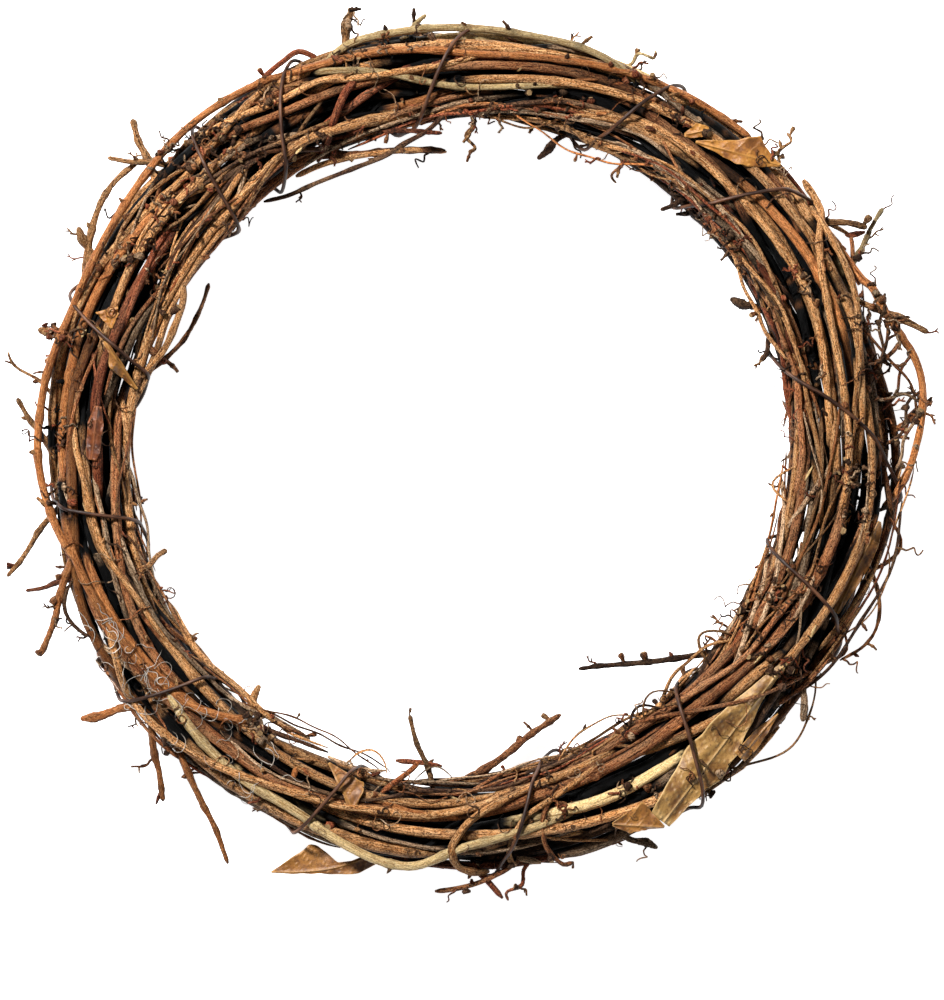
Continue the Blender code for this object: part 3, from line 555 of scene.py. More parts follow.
# Where a leaf's surface is tested in each of its triangles
SHARES = [(a / 4, b / 4, (4 - a - b) / 4) for a in range(5) for b in range(5 - a)]
LEAVES = (
    Leaf("leaf_oak", Tone.TAN, (296.7, 142), (327.3, 128),
         ((0, 5.5), (0.1, 6.8), (0.31, 8.9), (0.41, 9.1), (0.61, 7.4), (0.85, 3.4), (1, 0.4)),
         ((0, 2.5), (0.13, 3.6), (0.23, 4.8), (0.33, 6.8), (0.47, 6.4), (0.6, 3.8), (0.76, 1.6),
          (1, 0.4)), 15, 5),
    Leaf("leaf_oak_lobe", Tone.BROWN, (311, 138), (319.5, 137),
         ((0, 2.6), (0.5, 2.4), (1, 0.3)), ((0, 2.2), (0.4, 2.6), (1, 0.3))),
    Leaf("leaf_brown_shard", Tone.BROWN, (289.8, 135.4), (296.5, 143.5),
         ((0, 0.5), (0.56, 8.6), (1, 0.3)), ((0, 0.5), (0.35, 2.8), (0.67, 1.1), (1, 0.3))),
    Leaf("leaf_low_outer", Tone.BROWN, (257, 140), (243, 163),
         ((0, 3), (0.3, 4.2), (0.63, 1), (1, 0.3)),
         ((0, 2), (0.34, 0.6), (0.46, 1.7), (0.52, 5.4), (0.59, 8.8), (0.65, 9.2), (0.83, 4.8),
          (1, 0.3)), 12, over=False, bow=3.0, sag=12),
    Leaf("leaf_low_small", Tone.BROWN, (249.8, 129.8), (243.3, 118.5),
         ((0, 1.2), (0.42, 0.4), (0.67, 0.6), (1, 0.3)),
         ((0, 1.5), (0.23, 6.5), (0.35, 7.6), (1, 0.3))),
    Leaf("leaf_right_fold", Tone.BROWN, (336.7, 136.5), (351.3, 142),
         ((0, 1.5), (0.35, 1.8), (0.67, 1.0), (1, 0.5)),
         ((0, 0.8), (0.38, 2.8), (0.54, 3.8), (0.74, 3.4), (0.93, 2.3), (1, 0.8)), 8, sag=15),
    Leaf("leaf_upper_gold", Tone.GOLD, (56, 134), (44.5, 147),
         ((0, 0.5), (0.38, 3.7), (0.7, 8.0), (0.76, 5.7), (0.93, 1.2), (1, 0.4)),
         ((0, 0.4), (0.23, 1.5), (0.49, 3.8), (0.75, 2.9), (0.94, 0.8), (1, 0.4)), 9),
    Leaf("leaf_upper_pale", Tone.GOLD, (58, 134), (55.3, 140.1),
         ((0, 0.4), (0.55, 3.3), (1, 1.2)), ((0, 0.4), (0.21, 1.6), (0.8, 2.0), (1, 1.2)), 5),
    Leaf("leaf_left_pointed", Tone.BROWN, (161, 142.5), (168.4, 123),
         ((0, 1.0), (0.59, 0.8), (1, 0.3)),
         ((0, 0.8), (0.4, 1.0), (0.5, 3.0), (0.55, 3.6), (0.69, 2.8), (0.92, 1.2), (1, 0.3)), 10),
    Leaf("leaf_left_small", Tone.GOLD, (158.1, 141.1), (160.4, 137.2),
         ((0, 4.1), (0.35, 3.6), (1, 0.4)), ((0, 4.0), (1, 0.3)), 5),
    Leaf("bark_strip", Tone.PEELED, (172, 135), (180, 136.2),
         ((0, 1.2), (0.3, 2.6), (0.8, 2.8), (1, 2.0)),
         ((0, 1.2), (0.3, 2.8), (0.7, 2.6), (1, 1.6))),
)


@dataclass
class Winding:
    """The binding wire's way round the bundle, pulled tight over what lies inside it."""

    corners: int = 14
    slack: float = 5.0
    pull: float = 0.4
    pull_rounds: int = 160
    clear_rounds: int = 60
    window: float = 3.0
    lead: float = 8.0
    blends: tuple[float, ...] = (0.0, 0.25, 0.5, 0.75)

    def bearing(self, turning: Array) -> Array:
        """Bearing of the wire after it has turned this many half turns round the bundle."""
        marks = [mark for turn in WIRE_TURNS for mark in turn]
        marks = [marks[0] - self.lead, *marks, marks[-1] + self.lead]
        return np.interp(turning, np.arange(len(marks)) - 1, marks)

    def line(self, crowd: Crowd, outside: list[str]) -> Array:
        """Corners of the tight wire.

        Args:
            crowd: everything laid so far.
            outside: the pieces that the wire doesn't go over.

        Returns:
            Points in space, from the wire's start to its end.
        """
        bound = ~np.isin(crowd.owner, outside)
        centre, thick = crowd.centre[bound], crowd.radius[bound]
        bearing = RING.around(centre)[0]
        step = 2 / self.corners
        turning = np.arange(0.5 * step - 0.5, 2 * len(WIRE_TURNS) - 0.5, step)
        here = self.bearing(turning)
        way = np.stack([np.cos(math.pi * turning), np.sin(math.pi * turning)], 1)
        inner, outer = RING.band(here)
        place = np.stack([0.5 * (inner + outer) + (0.5 * (outer - inner) + self.slack) * way[:, 0],
                          RING.middle + (0.5 * RING.depth + self.slack) * way[:, 1]], 1)
        bottom = way[:, 1] < -math.cos(1.1 * math.pi / self.corners)
        near = []
        for blend in self.blends:
            spot = here[:-1] * (1 - blend) + here[1:] * blend
            off = np.abs((bearing[None] - spot[:, None] + 180) % 360 - 180) < self.window
            width = off.sum(1).max()
            near.append((np.argsort(~off, axis=1, kind="stable")[:, :width],
                         np.arange(width)[None] < off.sum(1)[:, None]))
        rest = RING.wire_rest
        for rounds in range(self.pull_rounds + self.clear_rounds):
            if rounds < self.pull_rounds:
                place[1:-1] += self.pull * (0.5 * (place[:-2] + place[2:]) - place[1:-1])
            for blend, (index, present) in zip(self.blends, near):
                place[:, 1] = np.where(bottom, rest, np.maximum(place[:, 1], rest))
                line = RING.spots(here, place[:, 0], place[:, 1])
                spot = line[:-1] * (1 - blend) + line[1:] * blend
                apart = np.linalg.norm(centre[index] - spot[:, None], axis=2)
                lack = thick[index] + 0.5 * RING.wire + RING.gap - apart
                lack = np.clip(np.where(present, lack, 0).max(1), 0, None)[:, None]
                place[:-1] += way[:-1] * lack * (1 - blend)
                place[1:] += way[1:] * lack * blend
        place[:, 1] = np.where(bottom, rest, np.maximum(place[:, 1], rest))
        return RING.spots(here, place[:, 0], place[:, 1])


@dataclass(frozen=True)
class Twig:
    """Side twig, stub or tendril: where it leaves the bundle and where its tip is."""

    CURL = 2.4
    TAPER = 0.35
    BUD_SWELL = 1.45
    LOWEST_TIP = 2.5
    STOUTER = 1.15
    SHIFTS = (0, 1.5, -1.5, 3, -3, 5, -5)
    LIFTS = (0, 2, -2, 4, -4, 7, -7, 10)
    root: Place
    tip: Place
    diameter: float
    via: Optional[Place] = None
    level: float = 4.0
    lift: float = 0.0
    bud: bool = False
    curls: float = 0.0

    def line(self, root: Vector, tip_height: float) -> tuple[list[Vector], list[float]]:
        """Points and radii from inside the host vine to the tip."""
        tip = RING.spot(*self.tip, tip_height)
        middle = 0.5 * (root + tip)
        if self.via:
            middle = RING.spot(*self.via, 0.5 * (root.z + tip_height))
        count = 12 if self.curls else 7 if self.via else 4
        side = (tip - root).normalized().cross(Vector((0, 0, 1))).normalized()
        points, radii = [], []
        for index in range(count):
            along = index / (count - 1)
            bend = 2 * along * (1 - along)
            point = root * (1 - along) ** 2 + middle * bend + tip * along ** 2
            if self.curls:
                turn = math.tau * self.curls * along
                size = self.CURL * along
                curl = Vector((0, 0, size * math.cos(turn)))
                point = point + side * size * math.sin(turn) + curl
            elif index in (1, 2) and not self.via:
                point = point + side * (0.5 if index == 1 else -0.4)
            points.append(point)
            radii.append(0.5 * self.diameter * (1 - self.TAPER * along))
        if self.bud:
            radii[-2] *= self.BUD_SWELL
        return points, radii

    def hosts(self, vines: list[Vine], bearing: float) -> list[tuple]:
        """Vines that could carry the twig at a bearing, the nearest first."""
        found = []
        for vine in vines:
            known = np.arange(len(vine.radius))
            for turn in range(-2, 3):
                station = (bearing + 360 * turn) / RING.step - vine.first
                if not 0.5 < station < len(known) - 1.5:
                    continue
                across = np.interp(station, known, vine.place[:, 0])
                height = np.interp(station, known, vine.place[:, 1])
                if np.interp(station, known, vine.radius) > 0.5 * self.diameter * self.STOUTER:
                    off = math.hypot(across - self.root[1], height - RING.middle - self.level)
                    found.append((off, vine.name, vine, across, height))
        return sorted(found, key=lambda host: host[:2])[:8]

    def settle(self, vines: list[Vine], crowd: Crowd) -> tuple:
        """Clearance, host vine, points and radii on the nearest vine with a clear way out."""
        best = None
        for shift in self.SHIFTS:
            bearing = self.root[0] + shift
            for _, _, vine, across, height in self.hosts(vines, bearing):
                root = RING.spot(bearing, across, height)
                for lift in self.LIFTS:
                    tip_height = height + self.lift + lift
                    if tip_height < self.LOWEST_TIP:
                        continue
                    points, radii = self.line(root, tip_height)
                    line, thick = dense([tuple(point) for point in points], radii, 6)
                    free = crowd.clearance(line, thick, vine.name)
                    if best is None or free > best[0]:
                        best = (free, vine, points, radii)
                    if free > RING.gap:
                        return best
        return best


TWIGS = (
    Twig((25, 149), (16, 162.5), 2.4, bud=True),
    Twig((27, 150), (32, 167), 2.2),
    Twig((4, 153), (7.5, 161), 2.4, bud=True),
    Twig((35, 150), (31, 158), 3.0),
    Twig((109.5, 150), (105.8, 165), 3.0, bud=True),
    Twig((101, 151), (97, 157.5), 2.4),
    Twig((139.5, 151), (135.7, 172), 3.0),
    Twig((136.5, 151), (141, 169), 2.4),
    Twig((156, 153), (139, 160), 2.8, via=(146, 168)),
    Twig((153, 152), (150, 164), 2.8, bud=True),
    Twig((163, 150), (163.5, 162.5), 3.0, bud=True),
    Twig((180, 151), (172.5, 165), 2.4),
    Twig((186, 151), (193.8, 172), 2.4),
    Twig((193, 151), (204, 169), 3.0),
    Twig((196.5, 151), (196, 166), 2.0),
    Twig((216, 151), (212.8, 167), 3.0, bud=True),
    Twig((218, 150), (227, 164), 2.8),
    Twig((222, 149), (238, 167), 2.6),
    Twig((290.5, 144), (294.5, 150), 2.4, bud=True),
    Twig((328, 134), (321, 145), 3.2, level=12, lift=3),
    Twig((27, 111), (33, 104.5), 2.8, bud=True),
    Twig((24, 111), (19.5, 104), 2.2),
    Twig((75, 118), (79.5, 108), 2.4, bud=True),
    Twig((51, 115), (54.5, 108), 2.2),
    Twig((119, 119), (96.5, 109.5), 3.0),
    Twig((109, 120), (97, 115), 2.2),
    Twig((168, 122), (147, 114.5), 2.0, via=(158, 108)),
    Twig((322, 105), (295, 81), 2.4, via=(309, 92)),
    Twig((267, 109), (287.5, 94), 3.0),
    Twig((262, 110), (254.4, 93), 2.2),
    Twig((228, 117), (225.5, 110.5), 2.6, bud=True),
    Twig((198, 121), (196, 115), 2.4),
    Twig((172, 151), (167, 170), 1.4, curls=1.0),
    Twig((44, 148), (47, 158), 1.4, curls=1.5),
    Twig((70, 149), (67, 157), 1.4, curls=1.5),
    Twig((66, 117), (64, 109), 1.4, curls=1.5),
    Twig((91, 120), (92.5, 108), 1.6, curls=2.0),
    Twig((277, 146), (273.5, 156), 1.6, curls=1.5),
    Twig((346, 143), (331, 145), 1.5, via=(338, 161)),
    Twig((9, 150), (8, 160), 1.4, curls=1.5),
)


class Relief:
    """Height of whatever lies uppermost at each spot, on a fine grid over the wreath."""

    EMPTY = -100.0
    REACHES = (2.6, 4.0, 5.4)

    def __init__(self, up: bool = True, cell: float = 0.4, reach: float = 180.0) -> None:
        """Start empty, seen from above or from below."""
        self.way = 1 if up else -1
        self.cell, self.reach = cell, reach
        count = int(2 * reach / cell)
        self.height = np.full((count, count), self.EMPTY)

    def add(self, centres: Array, radii: Array) -> None:
        """Take in balls with these centres and radii."""
        low = np.floor((centres[:, :2] - radii[:, None] + self.reach) / self.cell).astype(int)
        high = np.ceil((centres[:, :2] + radii[:, None] + self.reach) / self.cell).astype(int)
        for centre, radius, near, far in zip(centres, radii, low, high):
            x = (np.arange(near[0], far[0] + 1)) * self.cell - self.reach - centre[0]
            y = (np.arange(near[1], far[1] + 1)) * self.cell - self.reach - centre[1]
            left = radius ** 2 - x[:, None] ** 2 - y[None] ** 2
            top = np.where(left > 0, self.way * centre[2] + np.sqrt(np.clip(left, 0, None)),
                           self.EMPTY)
            part = self.height[near[0]:far[0] + 1, near[1]:far[1] + 1]
            np.maximum(part, top, out=part)

    def at(self, points: Array) -> Array:
        """Height at each point, measured up or down as the relief is seen."""
        spot = np.round((points[:, :2] + self.reach) / self.cell).astype(int)
        spot = np.clip(spot, 0, len(self.height) - 1)
        return self.height[spot[:, 0], spot[:, 1]]

    def sunk(self, points: Array, radii: Array) -> Array:
        """How far each ball lies below what stands on both sides of it, across the ring."""
        way = points[:, :2] - RING.centre
        way /= np.linalg.norm(way, axis=1, keepdims=True)
        sides = [np.max([self.at(points[:, :2] + reach * side * way) for reach in self.REACHES],
                        axis=0) for side in (-1, 1)]
        return np.clip(np.minimum(*sides) - self.way * points[:, 2] - radii, 0, None)


def frames(line: Array) -> tuple[Array, Array]:
    """Two directions square to a line at each of its points, turning as little as they can."""
    along = np.gradient(line, axis=0)
    along /= np.linalg.norm(along, axis=1, keepdims=True) + 1e-9
    side = Vector(along[0]).cross(Vector((0.0, 0.1, 1.0))).normalized()
    sides = []
    for way in (Vector(way) for way in along):
        side = (side - way * side.dot(way)).normalized()
        sides.append(tuple(side))
    side = np.array(sides)
    return side, np.cross(along, side)


def lengths(line: Array) -> Array:
    """Distance along a line to each of its points."""
    return np.concatenate([[0], np.cumsum(np.linalg.norm(np.diff(line, axis=0), axis=1))])


@dataclass
class Cane:
    """A stem, twig, tendril or wire: its middle line, thickness and skin, in millimetres."""

    END = (0.0, 0.6, 0.93)
    line: Array
    radius: Array
    sides: int = 10
    tint: Any = 0.5
    ridge: float = 0.045
    rough: float = 0.02
    twist: float = 0.05
    cut: bool = True
    flat: float = 1.0

    def skin(self, rng: np.random.Generator) -> tuple[Array, Array, Array, Array]:
        """Work out the surface, as rings of points with the seam's points given twice.

        Args:
            rng: source of the bark's ridges and lumps.

        Returns:
            Points, places in the straightened cane, the share of bare wood, and the tint.
        """
        side, out = frames(self.line)
        along = lengths(self.line)
        turn = np.linspace(0, math.tau, self.sides + 1)
        phase = rng.uniform(0, math.tau, 2)
        wind = self.twist * along[:, None]
        skin = 1 + self.ridge * (0.6 * np.cos(3 * (turn + wind) + phase[0])
                                 + 0.4 * np.cos(5 * turn - 4 * wind + phase[1]))
        lumps = rng.normal(size=(len(along), self.sides))
        skin += self.rough * np.hstack([lumps, lumps[:, :1]])
        girth = self.radius[:, None] * skin
        way = (np.cos(turn)[None, :, None] * side[:, None]
               + self.flat * np.sin(turn)[None, :, None] * out[:, None])
        close = len(self.END)
        rows = np.concatenate([[0] * close, np.arange(len(along)), [len(along) - 1] * close])
        share = np.ones(len(rows))
        share[:close], share[-close:] = self.END, self.END[::-1]
        points = self.line[rows][:, None] + (girth[rows] * share[:, None])[..., None] * way[rows]
        grain = np.stack([np.repeat(along[:, None], self.sides + 1, 1),
                          self.radius[:, None] * np.cos(turn + 0.3 * wind),
                          self.radius[:, None] * np.sin(turn + 0.3 * wind)], 2)
        wood = np.zeros(len(rows))
        wood[:close] = wood[-close:] = float(self.cut)
        tint = np.broadcast_to(self.tint, len(along))[rows, None] + np.zeros(self.sides + 1)
        return points, grain[rows] + rng.uniform(0, 500, 3), wood, tint


class Skin:
    """Mesh of one piece, which canes are rolled into from flat grids."""

    TINTS = (-0.25, 1.2)

    def __init__(self, name: str) -> None:
        """Start an empty mesh with the places that its finish reads."""
        self.name = name
        self.room = [np.array(corner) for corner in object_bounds()]
        self.rng = np.random.default_rng(sum(map(ord, name)))
        self.shape = bmesh.new()
        self.grain = self.shape.verts.layers.float_vector.new("grain")
        self.tint = self.shape.verts.layers.float.new("tint")
        self.wood = self.shape.verts.layers.float.new("wood")

    def grid(self, rows: int, columns: int) -> Iterator[tuple[bmesh.types.BMVert, int, int]]:
        """Vertices of a new grid with so many faces each way, with their row and column."""
        made = bmesh.ops.create_grid(self.shape, x_segments=rows, y_segments=columns, size=0.5)
        for vert in made["verts"]:
            yield vert, round((vert.co.x + 0.5) * rows), round((vert.co.y + 0.5) * columns)

    def roll(self, cane: Cane, shaded: Callable[[Array], Array]) -> None:
        """Roll one cane up from a grid, with both ends closed and painted shade on its hidden
        parts.
        """
        points, grain, wood, tint = cane.skin(self.rng)
        tint = np.clip(tint - shaded(points), *self.TINTS)
        points = np.clip(points * MM, *self.room)
        for vert, row, column in self.grid(len(points) - 1, cane.sides):
            vert.co = points[row, column]
            vert[self.grain] = grain[row, column]
            vert[self.wood] = wood[row]
            vert[self.tint] = tint[row, column]

    def finish(self, material: bpy.types.Material) -> bpy.types.Object:
        """Weld the seams, close the ends and give the piece its finish."""
        bmesh.ops.remove_doubles(self.shape, verts=self.shape.verts[:], dist=1e-7)
        bmesh.ops.recalc_face_normals(self.shape, faces=self.shape.faces[:])
        return as_object(self.name, self.shape, material)


def as_object(name: str, shape: bmesh.types.BMesh,
              material: bpy.types.Material) -> bpy.types.Object:
    """Smooth object made of a finished bmesh, which is freed."""
    mesh = bpy.data.meshes.new(name)
    shape.to_mesh(mesh)
    shape.free()
    mesh.shade_smooth()
    mesh.materials.append(material)
    item = bpy.data.objects.new(name, mesh)
    bpy.context.scene.collection.objects.link(item)
    return item


def linear(*colour: int) -> tuple[float, ...]:
    """Linear colour of one given in the usual 0 to 255 steps."""
    return tuple(((part / 255 + 0.055) / 1.055) ** 2.4 if part > 10 else part / 3294
                 for part in colour)


class Value:
    """A shader socket that takes part in sums."""

    def __init__(self, shader: "Shader", socket: bpy.types.NodeSocket) -> None:
        """Wrap one output socket."""
        self.shader, self.socket = shader, socket

    def sum(self, operation: str, first: Any, second: Any) -> "Value":
        """Result of one Math node."""
        return self.shader.add("ShaderNodeMath", {"operation": operation}, {0: first, 1: second})

    def __add__(self, other: Any) -> "Value":
        """Sum."""
        return self.sum("ADD", self, other)

    def __sub__(self, other: Any) -> "Value":
        """Difference."""
        return self.sum("SUBTRACT", self, other)

    def __rsub__(self, other: Any) -> "Value":
        """Difference from a number."""
        return self.sum("SUBTRACT", other, self)

    def __mul__(self, other: Any) -> "Value":
        """Product."""
        return self.sum("MULTIPLY", self, other)

    __radd__ = __add__
    __rmul__ = __mul__


class Shader:
    """One material, and the nodes that work out what varies over its surface."""

    def __init__(self, name: str) -> None:
        """Start with a plain surface."""
        self.material = bpy.data.materials.new(name)
        self.material.use_nodes = True
        self.tree = self.material.node_tree
        self.surface = self.tree.nodes["Principled BSDF"]

    def add(self, kind: str, settings: dict, inputs: dict, output: Any = 0) -> Value:
        """Add a node.

        Args:
            kind: the node's type.
            settings: its settings.
            inputs: values or links of its sockets, by name or number.
            output: the output that is wanted, by name or number.

        Returns:
            That output.
        """
        node = self.tree.nodes.new(kind)
        for name, value in settings.items():
            setattr(node, name, value)
        for name, value in inputs.items():
            self.feed(node.inputs[name], value)
        return Value(self, node.outputs[output])

    def feed(self, socket: Any, value: Any) -> None:
        """Give a socket a value or a link; a name is a socket of the surface itself."""
        if isinstance(socket, str):
            socket = self.surface.inputs[socket]
        if isinstance(value, Value):
            self.tree.links.new(value.socket, socket)
        else:
            socket.default_value = value

    def attribute(self, name: str, output: str = "Fac") -> Value:
        """What the piece's mesh stores under a name."""
        return self.add("ShaderNodeAttribute", {"attribute_name": name}, {}, output)

    def noise(self, place: Value, scale: Any, detail: float, roughness: float = 0.55) -> Value:
        """Smooth noise between 0 and 1; three scales stretch it along the axes."""
        if isinstance(scale, tuple):
            place = self.add("ShaderNodeVectorMath", {"operation": "MULTIPLY"},
                             {0: place, 1: scale})
            scale = 1.0
        return self.add("ShaderNodeTexNoise", {}, {"Vector": place, "Scale": scale,
                                                   "Detail": detail, "Roughness": roughness})

    def between(self, value: Value, low: float, high: float) -> Value:
        """Share of the way from low to high, eased at both ends."""
        return self.add("ShaderNodeMapRange", {"interpolation_type": "SMOOTHSTEP"},
                        {"Value": value, "From Min": low, "From Max": high})

    def mix(self, share: Any, first: Any, second: Any, blend: str = "MIX") -> Value:
        """Mix of two colours, each a link or given in the usual 0 to 255 steps."""
        first, second = ((*linear(*colour), 1) if isinstance(colour, tuple) else colour
                         for colour in (first, second))
        return self.add("ShaderNodeMix", {"data_type": "RGBA", "blend_type": blend},
                        {0: share, 6: first, 7: second}, 2)

    def bump(self, height: Value, depth: float, strength: float = 1.0) -> None:
        """Let a height in units of depth, in metres, disturb the surface's normal."""
        normal = self.add("ShaderNodeBump", {}, {"Height": height, "Distance": depth,
                                                 "Strength": strength})
        self.feed("Normal", normal)


@dataclass(frozen=True)
class BarkFinish:
    """Dry bark with fibres along the vine, flecks, weathered patches and pale cut ends."""

    bark: Bark
    deep: Colour
    body: Colour
    high: Colour
    grey: float = 0.35
    fleck: float = 0.8
    roughness: float = 0.6
    title: str = ""

    def material(self) -> bpy.types.Material:
        """Make the finish."""
        shader = Shader(self.title or self.bark.value)
        grain = shader.attribute("grain", "Vector")
        tint, wood = shader.attribute("tint"), shader.attribute("wood")
        fibres = shader.noise(grain, (0.07, 1.3, 1.3), 4.0, 0.62)
        cracks = shader.noise(grain, (0.2, 5.0, 5.0), 3.0, 0.5)
        patches = shader.noise(grain, (0.045, 0.25, 0.25), 2.0, 0.5)
        specks = shader.noise(grain, (1.6, 3.2, 3.2), 2.0, 0.5)
        dark = shader.between(specks, 0.53, 0.6) * self.fleck
        colour = shader.mix(shader.between(fibres, 0.32, 0.54), self.deep, self.body)
        colour = shader.mix(shader.between(cracks, 0.48, 0.64) * 0.75, colour, self.high)
        grey = shader.between(patches, 0.48, 0.64) * self.grey
        colour = shader.mix(grey, colour, (148, 114, 82))
        pale = shader.between(specks, 0.42, 0.34) * 0.45
        colour = shader.mix(pale, colour, self.high)
        colour = shader.mix(dark, colour, shader.mix(0.6, self.deep, (18, 8, 4)))
        # The tint darkens the bark: it carries each cane's own tone and the painted shade where a
        # cane lies sunk, hidden or inside the bundle
        shade = 0.26 + 1.24 * tint
        shade = shader.add("ShaderNodeCombineXYZ", {}, {0: shade, 1: shade, 2: shade})
        colour = shader.mix(1.0, colour, shade, "MULTIPLY")
        rings = shader.noise(grain, 2.5, 2.0)
        bare = shader.mix(rings, (120, 84, 52), (206, 172, 122))
        shader.feed("Base Color", shader.mix(wood, colour, bare))
        shader.feed("Roughness", self.roughness - 0.3 * (fibres - 0.5))
        shader.feed("Specular IOR Level", 0.12)
        shader.bump(fibres * 0.6 + cracks * 0.6 - dark * 0.7, 0.0008, 1.0)
        return shader.material


BARK_FINISHES = {finish.bark: finish for finish in (
    BarkFinish(Bark.TAN, (72, 34, 15), (170, 112, 62), (222, 178, 126)),
    BarkFinish(Bark.BROWN, (46, 21, 10), (128, 72, 40), (190, 134, 88)),
    BarkFinish(Bark.RED_BROWN, (52, 19, 10), (130, 60, 34), (186, 116, 80), grey=0.2),
    BarkFinish(Bark.ORANGE, (80, 37, 15), (162, 95, 49), (208, 146, 90), grey=0.15, fleck=0.55,
               roughness=0.5),
    BarkFinish(Bark.GREY_BROWN, (60, 37, 22), (150, 115, 84), (216, 188, 154), roughness=0.72),
    BarkFinish(Bark.STRAW, (150, 106, 58), (214, 180, 122), (240, 218, 170), grey=0.1, fleck=0.5,
               roughness=0.46),
    BarkFinish(Bark.DARK, (22, 10, 6), (60, 36, 24), (118, 86, 62), roughness=0.7),
    BarkFinish(Bark.PEELED, (70, 28, 14), (150, 76, 38), (200, 132, 84), grey=0.2),
)}
FIBRE_FINISH = BarkFinish(Bark.GREY_BROWN, (120, 104, 92), (190, 178, 164),
                          (232, 226, 216), 0.0, 0.2, title="fibre_pale")


@dataclass(frozen=True)
class LeafFinish:
    """Dry leaf with a pale rim, fine veins, brown blotches and specks."""

    tone: Tone
    body: Colour
    high: Colour
    spot: Colour
    rim: Colour

    def material(self) -> bpy.types.Material:
        """Make the finish."""
        shader = Shader(self.tone.value + "_dry")
        place = shader.attribute("grain", "Vector")
        edge, rib = shader.attribute("wood"), shader.attribute("tint")
        blotch = shader.noise(place, 0.16, 4.0, 0.6)
        mottle = shader.noise(place, 0.9, 4.0, 0.6)
        specks = shader.noise(place, 2.4, 2.0, 0.5)
        colour = shader.mix(shader.between(blotch, 0.38, 0.62), self.body, self.high)
        colour = shader.mix(shader.between(blotch, 0.45, 0.34) * 0.6, colour, self.spot)
        colour = shader.mix(shader.between(mottle, 0.5, 0.68) * 0.5, colour, self.spot)
        colour = shader.mix(shader.between(specks, 0.63, 0.7) * 0.85, colour, self.spot)
        colour = shader.mix(rib * 0.45, colour, self.rim)
        colour = shader.mix(shader.between(edge, 0.9, 0.99) * 0.6, colour, self.rim)
        shader.feed("Base Color", colour)
        shader.feed("Roughness", 0.5 + 0.25 * (mottle - 0.5))
        shader.bump(mottle * 0.5 + rib * 0.6 + specks * 0.2, 0.0005, 0.8)
        return shader.material


LEAF_FINISHES = {finish.tone: finish for finish in (
    LeafFinish(Tone.TAN, (128, 88, 40), (166, 126, 68), (82, 48, 20), (206, 172, 114)),
    LeafFinish(Tone.BROWN, (120, 74, 29), (150, 100, 42), (64, 36, 14), (176, 130, 68)),
    LeafFinish(Tone.GOLD, (142, 88, 32), (174, 118, 48), (88, 48, 18), (190, 138, 72)),
    LeafFinish(Tone.PEELED, (86, 40, 16), (120, 64, 30), (44, 20, 9), (142, 86, 48)),
)}


@dataclass(frozen=True)
class WireFinish:
    """Brown coat of the binding wire, dull where it has rubbed on the vines."""

    body: Colour = (38, 20, 12)
    worn: Colour = (100, 64, 42)

    def material(self) -> bpy.types.Material:
        """Make the finish."""
        shader = Shader("wire_brown")
        grain = shader.attribute("grain", "Vector")
        patches = shader.noise(grain, (0.12, 0.5, 0.5), 4.0, 0.6)
        fine = shader.noise(grain, (0.8, 2.5, 2.5), 3.0, 0.6)
        colour = shader.mix(shader.between(patches, 0.4, 0.7), self.body, self.worn)
        shader.feed("Base Color", shader.mix(shader.between(fine, 0.55, 0.7) * 0.4, colour,
                                             (34, 20, 14)))
        shader.feed("Roughness", 0.36 + 0.3 * fine)
        shader.feed("Specular IOR Level", 0.3)
        shader.bump(fine, 0.0002, 0.5)
        return shader.material


@dataclass
class Stem:
    """A middle line with its thickness, made uneven, and where its joints are."""

    line: Array
    radius: Array
    joints: list[int] = field(default_factory=list)
    shade: Any = 0.0
    joint_width: float = 2.0
    joint_shade: float = -0.16
    wave_shade: float = 0.07
    wave_length: float = 19.0

    def join(self, rng: random.Random, spacing: Place = (42, 82), swell: float = 0.2,
             kink: float = 0.3, tip: float = 9.0) -> "Stem":
        """Give the stem its joints: a dark swelling and a slight kink every few centimetres.

        Args:
            rng: source of the joints' places.
            spacing: least and greatest distance between joints.
            swell: how much thicker a joint is.
            kink: how far a joint stands off the line.
            tip: length over which each end gets thinner.

        Returns:
            The stem itself.
        """
        along = lengths(self.line)
        marks = [0.0]
        while marks[-1] < along[-1]:
            marks.append(marks[-1] + rng.uniform(*spacing))
        offs = np.array([[rng.uniform(-kink, kink) for _ in range(3)] for _ in marks])
        inside = np.array(marks[1:-1])
        bell = np.zeros(len(along))
        if len(inside):
            bell = np.exp(-((along[:, None] - inside[None]) / self.joint_width) ** 2).max(1)
        ends = np.minimum(along, along[-1] - along)
        self.radius = self.radius * (1 + swell * bell) * np.clip(0.45 + 0.55 * ends / tip, 0, 1)
        self.line = self.line + np.stack([np.interp(along, marks, offs[:, axis])
                                          for axis in range(3)], 1)
        wave = np.sin(along / self.wave_length + rng.uniform(0, 6))
        self.shade = self.joint_shade * bell + self.wave_shade * wave
        self.joints = [int(np.searchsorted(along, mark)) for mark in inside]
        return self


